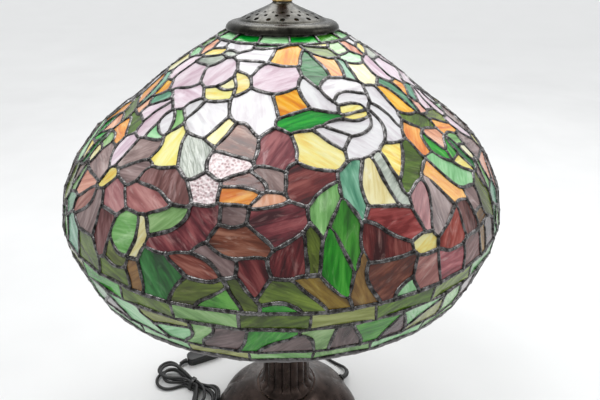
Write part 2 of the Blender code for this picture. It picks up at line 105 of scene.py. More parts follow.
def steps_of(line):
    return np.linalg.norm(np.diff(line, axis=0), axis=1)


def resampled(line, gone, count):
    """So many points evenly spaced along a line, where gone is the distance at each of its points."""
    at = np.linspace(0.0, gone[-1], count)
    return np.stack([np.interp(at, gone, line[:, k]) for k in range(line.shape[1])], -1)


def curve_through(points, step):
    """Points a step apart on a smooth curve through given ones."""
    fine = fine_curve(points, 12)
    gone = run_of(steps_of(fine))
    return resampled(fine, gone, max(3, round(gone[-1] / step) + 1))


def eased(outline, reach, steps=4):
    """An open half section in millimetres with each of its corners rounded off."""
    points = [np.array(p, float) for p in outline]
    line = [points[0]]
    for before, corner, after in zip(points, points[1:], points[2:]):
        ways = []
        for other in (before, after):
            way = other - corner
            length = np.linalg.norm(way)
            ways.append(way / length * min(reach, 0.45 * length))
        turns = np.linspace(0.0, 1.0, steps + 1)
        line += [corner + ways[0] * (1 - t) ** 2 + ways[1] * t**2 for t in turns]
    return [*line, points[-1]]


def bridge(bm, rings, closed=False):
    """Faces between rings of vertices, where a ring of one vertex closes the shape to a point."""
    pairs = [*zip(rings, rings[1:])]
    if closed:
        pairs.append((rings[-1], rings[0]))
    for low, high in pairs:
        around = max(len(low), len(high))
        for k in range(around):
            f = (k + 1) % around
            below, above = (low[k % len(low)], low[f % len(low)]), (high[f % len(high)], high[k % len(high)])
            bm.faces.new(list(dict.fromkeys((*below, *above))))


def spin(bm, line, around, axes=None, warp=None, closed=False):
    """Spins an outline of (radius, height) in millimetres about Z, or about the Z of other axes.

    warp gives the scale of the radius from radius, height and angle.
    """
    rings = []
    for r, z in line:
        ring = []
        for k in range(around if r > 1e-3 else 1):
            a = math.tau * k / around
            size = r * (warp(r, z, a) if warp else 1.0)
            place = Vector((size * math.cos(a), size * math.sin(a), z)) * MM
            ring.append(bm.verts.new(axes @ place if axes else place))
        rings.append(ring)
    bridge(bm, rings, closed)


def sweep(bm, points, radii):
    """A round body along points in millimetres, with a radius at each and flat ends."""
    sides = 20
    ways = np.gradient(points, axis=0)
    side = np.array((0.0, 0.0, 1.0))
    rings = []
    for point, way, radius in zip(points, ways, radii):
        way = way / np.linalg.norm(way)
        side = side - (side @ way) * way
        side = side / np.linalg.norm(side)
        third = np.cross(way, side)
        turns = [math.tau * k / sides for k in range(sides)]
        spots = [point + radius * (side * math.cos(a) + third * math.sin(a)) for a in turns]
        rings.append([bm.verts.new(spot * MM) for spot in spots])
    bridge(bm, rings)
    bm.faces.new(rings[0][::-1])
    bm.faces.new(rings[-1])


def add_piece(name, bm, body, nodes=(), sharp=38):
    """A finished piece that rides on a body and stands for the named CAD nodes."""
    bmesh.ops.recalc_face_normals(bm, faces=bm.faces)
    mesh = bpy.data.meshes.new(name)
    bm.to_mesh(mesh)
    bm.free()
    mesh.shade_smooth()
    mesh.set_sharp_from_angle(angle=math.radians(sharp))
    obj = add_object(name, mesh)
    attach(obj, body)
    if nodes:
        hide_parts(*nodes)
    return obj


def round_off(bm, edges, width, segments):
    """Bevels edges, with the width in millimetres."""
    bmesh.ops.bevel(
        bm, geom=edges, offset=width * MM, segments=segments, profile=0.5, affect="EDGES", clamp_overlap=True,
    )


def softened(name, node, width, body, extra=None):
    """A node's own solid with every sharp edge rounded off, as a moulding or a pressing has it."""
    flat, sharp = math.radians(0.6), math.radians(40)
    bm = bmesh.new()
    bm.from_mesh(bpy.data.objects[node].data)
    bmesh.ops.remove_doubles(bm, verts=bm.verts, dist=1e-6)
    bmesh.ops.dissolve_limit(bm, angle_limit=flat, verts=bm.verts, edges=bm.edges)
    edges = [e for e in bm.edges if len(e.link_faces) == 2 and e.calc_face_angle() > sharp]
    round_off(bm, edges, width, 3)
    bmesh.ops.triangulate(bm, faces=[f for f in bm.faces if len(f.verts) > 4])
    if extra:
        extra(bm)
    return add_piece(name, bm, body, [node], 42)


def add_sleeve(name, points, start, end, rib=1.0, nodes=()):
    """A tapered sleeve with rings around it along points, from one radius to another.

    rib is the share of that radius which the rings have.
    """
    line = curve_through(points, 0.75)
    groove = 0.9
    radii = []
    for k in range(len(line)):
        share = k / (len(line) - 1)
        radii.append((start + (end - start) * share) * (rib if k % 4 in (1, 2) else groove))
    bm = bmesh.new()
    sweep(bm, line, radii)
    return add_piece(name, bm, "base", nodes)


def rounded_bar(bm, centre, size, axes):
    """A small bar with rounded edges, its size and centre in millimetres."""
    place = axes @ Matrix.Translation(Vector(centre) * MM) @ Matrix.Diagonal((*(Vector(size) * MM), 1.0))
    verts = bmesh.ops.create_cube(bm, size=1.0, matrix=place)["verts"]
    round_off(bm, list({e for v in verts for e in v.link_edges}), 0.35, 2)


# ---------------------------------------------------------------- the lead
# The lead's route on the table, in millimetres, as in the CAD model.
CORD = 4.5  # diameter
LAID = 2.35  # height of its centre where it lies flat
BASE_ROUTE = [
    (97.5, 72.4, 7.2), (94.9, 80.6, 4.8), (88.4, 87.6, 3.0), (78.0, 96.0, 2.35), (65.0, 108.0, 2.35),
    (49.0, 124.0, 2.35), (28.0, 139.0, 2.35), (2.0, 148.5, 2.35), (-27.0, 152.0, 2.35),
    (-56.0, 148.0, 2.5), (-80.0, 138.6, 3.9), (-95.0, 131.9, 5.9), (-108.1, 126.2, 6.5),
]
SWITCH_END = (-164.2, 101.8, 6.5)  # where the second length leaves the switch
PLUG_END = (-158.0, -23.6, 7.0)  # where it enters the plug
TIE = (-146.0, 53.0)
TIE_WAY = math.radians(-35.0)
# Where each pass through the tie lies: across the bundle, and its height.
TIE_SLOTS = [
    (6.9, 2.35), (-6.9, 2.35), (2.3, 2.35), (-2.3, 2.35), (4.6, 6.5), (-4.6, 6.5), (0.0, 6.5),
    (-2.4, 10.6), (2.4, 10.6),
]
# The way from one pass to the next, by turns beyond the lower right and the upper left end of the tie.
LEAD_IN = [
    (-170.0, 98.5, 5.2), (-175.0, 92.5, 3.8), (-176.0, 84.5, 3.0), (-171.0, 76.5, 2.5), (-163.0, 70.5, 2.35),
]
TURNS = [
    [(-124, 51), (-112, 50.5), (-104.5, 41), (-104.5, 25), (-109, 8), (-118, -3), (-130, -2), (-138, 10),
     (-141.5, 26)],
    [(-171, 49.5), (-187, 46.5), (-200, 52.5), (-206, 64), (-201, 76), (-187, 82), (-172, 76)],
    [(-122, 42.5), (-110.5, 31), (-107.5, 14), (-113, 1), (-124, -2), (-133, 7), (-136.5, 24)],
    [(-171, 62), (-184, 64), (-197, 69), (-206, 79), (-204, 90), (-193, 97), (-181, 92), (-170, 80)],
    [(-122, 46), (-109, 37), (-105, 18), (-110, 1), (-121, -7), (-132, -3), (-138, 10), (-139, 24)],
    [(-170, 55), (-184, 54), (-194, 62), (-194, 74), (-184, 79.5), (-171, 73)],
    [(-122, 38), (-111.5, 24), (-111, 9), (-119, 0), (-129, 1), (-135, 12), (-136, 27)],
    [(-170, 59), (-186, 59), (-198, 66), (-199.5, 78), (-189, 85.5), (-176, 81), (-166, 72)],
]
LEAD_OUT = [
    (-127, 37, 30.0), (-123, 22, 34.0), (-127, 7, 32.0), (-137, -2, 24.0), (-147, -5, 14.0),
    (-154, -9.5, 9.0), (-157.6, -16, 7.0),
]
LAYER = 5.2  # each turn starts this far above the one before it, and settles from there
TIE_HALF = 11.0  # half the length in which the passes through the tie run straight


def bundle_route():
    """The lead from switch to plug: laid loop on loop, then settled on the table under its own weight."""
    along = np.array((math.cos(TIE_WAY), math.sin(TIE_WAY)))
    across = np.array((-along[1], along[0]))
    centre = np.array(TIE)

    def passing(number):
        offset, height = TIE_SLOTS[number]
        way = along if number % 2 == 0 else -along
        return [(*(centre + across * offset + way * t), height) for t in (-TIE_HALF, 0.0, TIE_HALF)]

    route = [SWITCH_END, *LEAD_IN]
    for number, turn in enumerate(TURNS):
        route += passing(number)
        top = max(LAID + LAYER * number, TIE_SLOTS[number][1])
        route += [(x, y, top) for x, y in turn]
    route += [*passing(len(TURNS)), *LEAD_OUT, PLUG_END]
    return settled(curve_through(route, 4.0), along, across, centre)


def settled(guide, along, across, centre):
    """The guide's line let down until it lies on the table or on itself; its loops keep their places."""
    line = guide.copy()
    spacing = steps_of(guide).mean()
    count = len(line)
    # the guide's points that lie in the tie, pass by pass
    local = (guide[:, :2] - centre) @ along
    side = (guide[:, :2] - centre) @ across
    inside = np.nonzero((np.abs(local) < 9.0) & (np.abs(side) < 9.0))[0]
    passes = np.split(inside, np.nonzero(np.diff(inside) > 2)[0] + 1)
    held = {0: guide[0], 1: guide[1], count - 1: guide[-1], count - 2: guide[-2]}
    for part, (offset, height) in zip(passes, TIE_SLOTS):
        for k in part:
            held[k] = np.array((*(centre + across * offset + along * local[k]), height))
    keys = np.array(sorted(held))
    places = np.array([held[k] for k in keys])
    index = np.arange(count)
    wanted = CORD + 0.3  # from centre to centre of two passes that rest on each other
    rounds, gentle = 900, 300
    for step in range(rounds):
        late = step > rounds - gentle
        stiff, fall, drift = (0.12, 0.03, 1.0) if late else (0.30, 0.06, 0.99)
        if step % 8 == 0:
            gaps = np.linalg.norm(line[:, None, :] - line[None, :, :], axis=2)
            near = (gaps < 3.0 * CORD) & (index[None, :] - index[:, None] > 3.2 * CORD / spacing)
            first, second = np.nonzero(near)
        # gravity, and the stiffness of the lead: heights and sideways shifts even out along it
        line[:, 2] -= fall
        shift = line - guide * (1.0, 1.0, 0.0)
        shift *= (drift, drift, 1.0)
        for reach in (4, 2, 1):
            middle = 0.5 * (shift[:-2 * reach] + shift[2 * reach:]) - shift[reach:-reach]
            shift[reach:-reach] += stiff * middle
        line = guide * (1.0, 1.0, 0.0) + shift
        for _ in range(8):
            away = line[second] - line[first]
            flat = np.hypot(away[:, 0], away[:, 1])
            length = np.linalg.norm(away, axis=1)
            # what was laid later lies on top where it crosses, and beside where it runs along
            beside = (length < wanted) & (flat > 0.8 * wanted)
            push = away[beside] * (0.5 * (wanted / np.maximum(length[beside], 1e-6) - 1.0))[:, None]
            np.add.at(line, second[beside], push)
            np.add.at(line, first[beside], -push)
            crossing = flat <= 0.8 * wanted
            missing = np.sqrt(wanted**2 - flat[crossing] ** 2) - away[crossing, 2]
            lift = np.zeros(count)
            np.maximum.at(lift, second[crossing], missing)
            line[:, 2] += 0.7 * np.maximum(lift, 0.0)
            line[:, 2] = np.maximum(line[:, 2], LAID)
            line[keys] = places
    return curve_through(smoothed(line, 2), 3.5)


def add_cord(name, points):
    """A round cord along points in millimetres."""
    curve = bpy.data.curves.new(name, "CURVE")
    curve.dimensions = "3D"
    curve.bevel_depth = 1.0  # times each point's own radius, which is also what the curve's box counts
    curve.bevel_resolution = 3
    curve.use_fill_caps = True
    spline = curve.splines.new("POLY")
    spline.points.add(len(points) - 1)
    for point, place in zip(spline.points, points):
        point.co = (*(place * MM), 1.0)
        point.radius = CORD / 2 * MM
    return add_object(name, curve)


def tie_bundle():
    """The flat band around the bundle, drawn tight over the cords that pass through it, with its buckle."""
    turns = np.linspace(0.0, math.tau, 24, endpoint=False)
    reach = np.array([max(y * math.cos(a) + z * math.sin(a) for y, z in TIE_SLOTS) for a in turns])
    middle = np.mean(TIE_SLOTS, axis=0)
    reach = reach - middle[0] * np.cos(turns) - middle[1] * np.sin(turns)
    place = Matrix.Translation(Vector((*TIE, 0.0)) * MM) @ Matrix.Rotation(TIE_WAY, 4, "Z")
    step = turns[1] - turns[0]
    # the band's section: how far it stands off the cords, and where along them
    section = ((0.25, 2.9), (0.25, -2.9), (0.8, -3.0), (1.05, -2.2), (1.05, 2.2), (0.8, 3.0))
    rings = []
    for thick, half in section:
        distance = reach + CORD / 2 + thick
        # corners where neighbouring support lines of the bundle's outline cross
        ring = []
        for k, angle in enumerate(turns):
            along = (distance[(k + 1) % len(turns)] - distance[k] * math.cos(step)) / math.sin(step)
            y = middle[0] + distance[k] * math.cos(angle) - along * math.sin(angle)
            z = middle[1] + distance[k] * math.sin(angle) + along * math.cos(angle)
            ring.append((half, y, max(z, 0.15 if thick > 0.5 else 0.4)))
        rings.append(ring)
    bm = bmesh.new()
    bridge(bm, [[bm.verts.new(place @ (Vector(p) * MM)) for p in ring] for ring in rings], True)
    rounded_bar(bm, (0.0, 3.4, 13.9), (7.4, 4.6, 1.6), place)
    return add_piece("bundle_tie", bm, "base", ["cord_tie"])


def add_switch_and_plug():
    """The in-line switch and the plug as mouldings, with the ribbed sleeves where the cord enters them."""
    def grips(bm):
        across, height = 34.0, 13.6  # the plug's width and the height of its top
        place = Matrix.Translation(Vector((PLUG_END[0], PLUG_END[1] - 0.4, 0.0)) * MM)
        for k in range(5):
            y = -23.0 - 2.6 * k
            rounded_bar(bm, (0.0, y, height), (across * 0.62, 1.2, 1.0), place)
            for side in (-1, 1):
                rounded_bar(bm, (side * across / 2, y, height / 2), (1.0, 1.2, height * 0.62), place)

    left_sleeve = [SWITCH_END, (-169.8, 99.0, 6.1), (-174.4, 95.2, 5.2)]
    tail = [PLUG_END, (-158.0, -20.0, 7.0), (-157.4, -15.6, 7.0), (-155.2, -11.0, 7.0)]
    made = [
        softened("switch_case_low", "switch_lower_shell", 0.7, "base"),
        softened("switch_case_high", "switch_upper_shell", 0.9, "base"),
        softened("plug_moulding", "plug_body", 1.1, "base", grips),
        add_sleeve("switch_sleeve_right", BASE_ROUTE[-3:], 2.9, 4.4),
        add_sleeve("switch_sleeve_left", left_sleeve, 4.4, 2.9),
        add_sleeve("plug_sleeve", tail, 4.3, 3.0),
    ]
    softened("switch_key", "switch_rocker", 0.45, "rocker")
    for side in ("left", "right"):
        softened(f"plug_prong_{side}", f"plug_pin_{side}", 0.4, "base")
    return made


base_points = curve_through(BASE_ROUTE, 4.0)
bundle_points = bundle_route()
lead_to_switch = add_cord("lead_to_switch", base_points)
lead_to_plug = add_cord("lead_to_plug", bundle_points)
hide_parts("base_lead")
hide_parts("switch_lead", "cord_hank", "tail_lead")
for lead in (lead_to_switch, lead_to_plug):
    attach(lead, "base")
case_low, case_high, plug, sleeve_right, sleeve_left, plug_sleeve = add_switch_and_plug()
tie_bundle()


# ---------------------------------------------------------------- materials
def linear(colour):
    """A display colour, 0 to 1 a channel, as the scene's linear one."""
    return tuple(c / 12.92 if c <= 0.04045 else ((c + 0.055) / 1.055) ** 2.4 for c in colour)


class Nodes:
    """The node tree of a new material or world, with short calls that add and join nodes."""

    def __init__(self, name, kind="materials", shader="Principled BSDF"):
        self.owner = getattr(bpy.data, kind).new(name)
        self.owner.use_nodes = True
        self.tree = self.owner.node_tree
        self.shader = self.tree.nodes[shader]

    def join(self, source, target):
        self.tree.links.new(source, target)

    def put(self, socket, value):
        if isinstance(value, bpy.types.NodeSocket):
            self.join(value, socket)
        else:
            socket.default_value = value

    def math(self, operation, *values):
        node = self.tree.nodes.new("ShaderNodeMath")
        node.operation = operation
        for socket, value in zip(node.inputs, values):
            self.put(socket, value)
        return node.outputs[0]

    def vector(self, operation, a, b):
        node = self.tree.nodes.new("ShaderNodeVectorMath")
        node.operation = operation
        self.put(node.inputs[0], a)
        self.put(node.inputs[1], b)
        return node.outputs[0]

    def place(self, kind="Object"):
        return self.tree.nodes.new("ShaderNodeTexCoord").outputs[kind]

    def attribute(self, name):
        node = self.tree.nodes.new("ShaderNodeAttribute")
        node.attribute_name = name
        return node.outputs["Vector"]

    def noise(self, vector, scale, detail=3.0, rough=0.55, warp=0.0):
        node = self.tree.nodes.new("ShaderNodeTexNoise")
        self.put(node.inputs["Vector"], vector)
        node.inputs["Scale"].default_value = scale
        node.inputs["Detail"].default_value = detail
        node.inputs["Roughness"].default_value = rough
        node.inputs["Distortion"].default_value = warp
        return node.outputs["Fac"]

    def cells(self, vector, scale, feature="F1"):
        node = self.tree.nodes.new("ShaderNodeTexVoronoi")
        node.feature = feature
        self.put(node.inputs["Vector"], vector)
        node.inputs["Scale"].default_value = scale
        return node.outputs["Distance"]

    def random(self, value):
        node = self.tree.nodes.new("ShaderNodeTexWhiteNoise")
        node.noise_dimensions = "1D"
        self.put(node.inputs["W"], value)
        return node.outputs["Value"]

    def split(self, vector):
        node = self.tree.nodes.new("ShaderNodeSeparateXYZ")
        self.join(vector, node.inputs[0])
        return node.outputs

    def ramp(self, fac, stops):
        """stops is a list of (position, linear colour)."""
        node = self.tree.nodes.new("ShaderNodeValToRGB")
        self.put(node.inputs[0], fac)
        ramp = node.color_ramp
        while len(ramp.elements) < len(stops):
            ramp.elements.new(0.5)
        for element, (position, colour) in zip(ramp.elements, stops):
            element.position = position
            element.color = (*colour, 1.0)
        return node.outputs["Color"]

    def steps(self, fac, low, high, start=0.0, end=1.0):
        """A smooth rise from start to end as fac goes from low to high."""
        node = self.tree.nodes.new("ShaderNodeMapRange")
        node.interpolation_type = "SMOOTHSTEP"
        self.put(node.inputs["Value"], fac)
        for name, value in (("From Min", low), ("From Max", high), ("To Min", start), ("To Max", end)):
            node.inputs[name].default_value = value
        return node.outputs[0]

    def mix(self, fac, a, b):
        """From colour a to colour b; each is a socket or a linear colour."""
        node = self.tree.nodes.new("ShaderNodeMix")
        node.data_type = "RGBA"
        self.put(node.inputs[0], fac)
        self.put(node.inputs[6], a if isinstance(a, bpy.types.NodeSocket) else (*a, 1.0))
        self.put(node.inputs[7], b if isinstance(b, bpy.types.NodeSocket) else (*b, 1.0))
        return node.outputs[2]

    def bump(self, height, strength, distance, under=None):
        node = self.tree.nodes.new("ShaderNodeBump")
        node.inputs["Strength"].default_value = strength
        node.inputs["Distance"].default_value = distance
        self.join(height, node.inputs["Height"])
        if under is not None:
            self.join(under, node.inputs["Normal"])
        return node.outputs[0]

    def hue(self, colour, hue, saturation, value):
        node = self.tree.nodes.new("ShaderNodeHueSaturation")
        self.put(node.inputs["Hue"], hue)
        self.put(node.inputs["Saturation"], saturation)
        self.put(node.inputs["Value"], value)
        self.join(colour, node.inputs["Color"])
        return node.outputs[0]

    def finish(self, colour=None, roughness=None, normal=None, metallic=None, **more):
        given = {"Base Color": colour, "Roughness": roughness, "Normal": normal, "Metallic": metallic, **more}
        for name, value in given.items():
            if value is not None:
                self.put(self.shader.inputs[name], value)
        return self.owner


def glass_material(name, dark, body, light, wisp, wisps, spread, grain):
    """Opalescent sheet glass: colours swirled along the sheet's grain, with pale wisps and a rippled gloss.

    The "flow" attribute of each piece holds millimetres along and across its grain, and its own number.
    spread is how much the pieces differ in brightness and hue.
    """
    n = Nodes(name)
    flow = n.attribute("flow")
    _, _, number = n.split(flow)
    chance = n.random(number)
    other = n.random(n.math("ADD", number, 71.3))
    long_grain = n.vector("MULTIPLY", flow, (0.020, 0.070, 5.17))
    fine_grain = n.vector("MULTIPLY", flow, (0.022, 0.30, 3.71))
    swirl = n.noise(long_grain, 1.0, 3.0, 0.6, 0.9)
    streak = n.noise(fine_grain, 1.0, 4.0, 0.62, 0.5)
    tone = n.math("ADD", n.math("MULTIPLY", swirl, 0.65), n.math("MULTIPLY", streak, 0.35))
    colour = n.ramp(tone, [(0.38, linear(dark)), (0.5, linear(body)), (0.62, linear(light))])
    milk = n.steps(n.noise(n.vector("ADD", long_grain, (4.0, 9.0, 1.5)), 1.35, 4.0, 0.66, 1.3), 0.52, 0.72)
    colour = n.mix(n.math("MULTIPLY", milk, wisps), colour, linear(wisp))
    grit_size = (0.42, 0.42, 1.0)
    if grain == "granular":
        grit = n.cells(n.vector("MULTIPLY", flow, grit_size), 1.0)
        colour = n.mix(n.steps(grit, 0.15, 0.75, 0.0, 0.7), colour, linear(light))
    value = n.math("ADD", 1.0 - 1.6 * spread, n.math("MULTIPLY", chance, 3.2 * spread))
    tint = n.math("ADD", 0.5 - spread * 0.22, n.math("MULTIPLY", other, spread * 0.44))
    colour = n.hue(colour, tint, n.math("ADD", 0.94, n.math("MULTIPLY", other, 0.12)), value)
    if grain == "granular":
        relief = n.cells(n.vector("MULTIPLY", flow, grit_size), 1.0, "SMOOTH_F1")
        normal = n.bump(relief, 0.8, 0.0009)
    elif grain == "rippled":
        relief = n.noise(n.vector("MULTIPLY", flow, (0.09, 0.42, 1.0)), 1.0, 1.0, 0.4, 0.4)
        normal = n.bump(relief, 0.8, 0.0012)
    else:
        relief = n.noise(n.vector("MULTIPLY", flow, (0.05, 0.10, 1.0)), 1.0, 2.0, 0.45, 0.3)
        normal = n.bump(relief, 0.55, 0.0012)
    rough = n.math("ADD", 0.11, n.math("MULTIPLY", streak, 0.12))
    return n.finish(colour, rough, normal, **{"IOR": 1.48, "Coat Weight": 0.1, "Coat Roughness": 0.06})


# ---------------------------------------------------------------- the shade's glass
# Outer face of the shade from the rim up: radius and height in millimetres, as in the CAD model.
SHADE_OUTLINE = [
    (215.5, 319.2), (219.2, 330.3), (223.9, 344.8), (227.4, 359.3), (228.6, 374.2), (227.0, 388.0),
    (216.8, 413.9), (193.0, 445.4), (149.8, 476.8), (108.2, 508.2), (64.6, 534.2), (56.5, 538.8),
    (50.2, 539.6),
]
# Rows of the shade, as millimetres along its outer face from the rim: where each begins and ends.
RIM_ROW, WAVE_BELT, UPPER_BELT = (0.0, 11.7), (11.7, 41.9), (41.9, 58.0)
FLOWERS, TOP_ROW = (58.0, 294.7), (294.7, 309.5)
TILES, TOP_TILES = 28, 14
RIM_JOINT, UPPER_JOINT, TOP_JOINT = -7.5, -8.5, -20.0  # degrees around, of one joint in each row of tiles
GLASS = 3.0  # thickness
SECTOR = 120.0  # the flowers repeat three times around
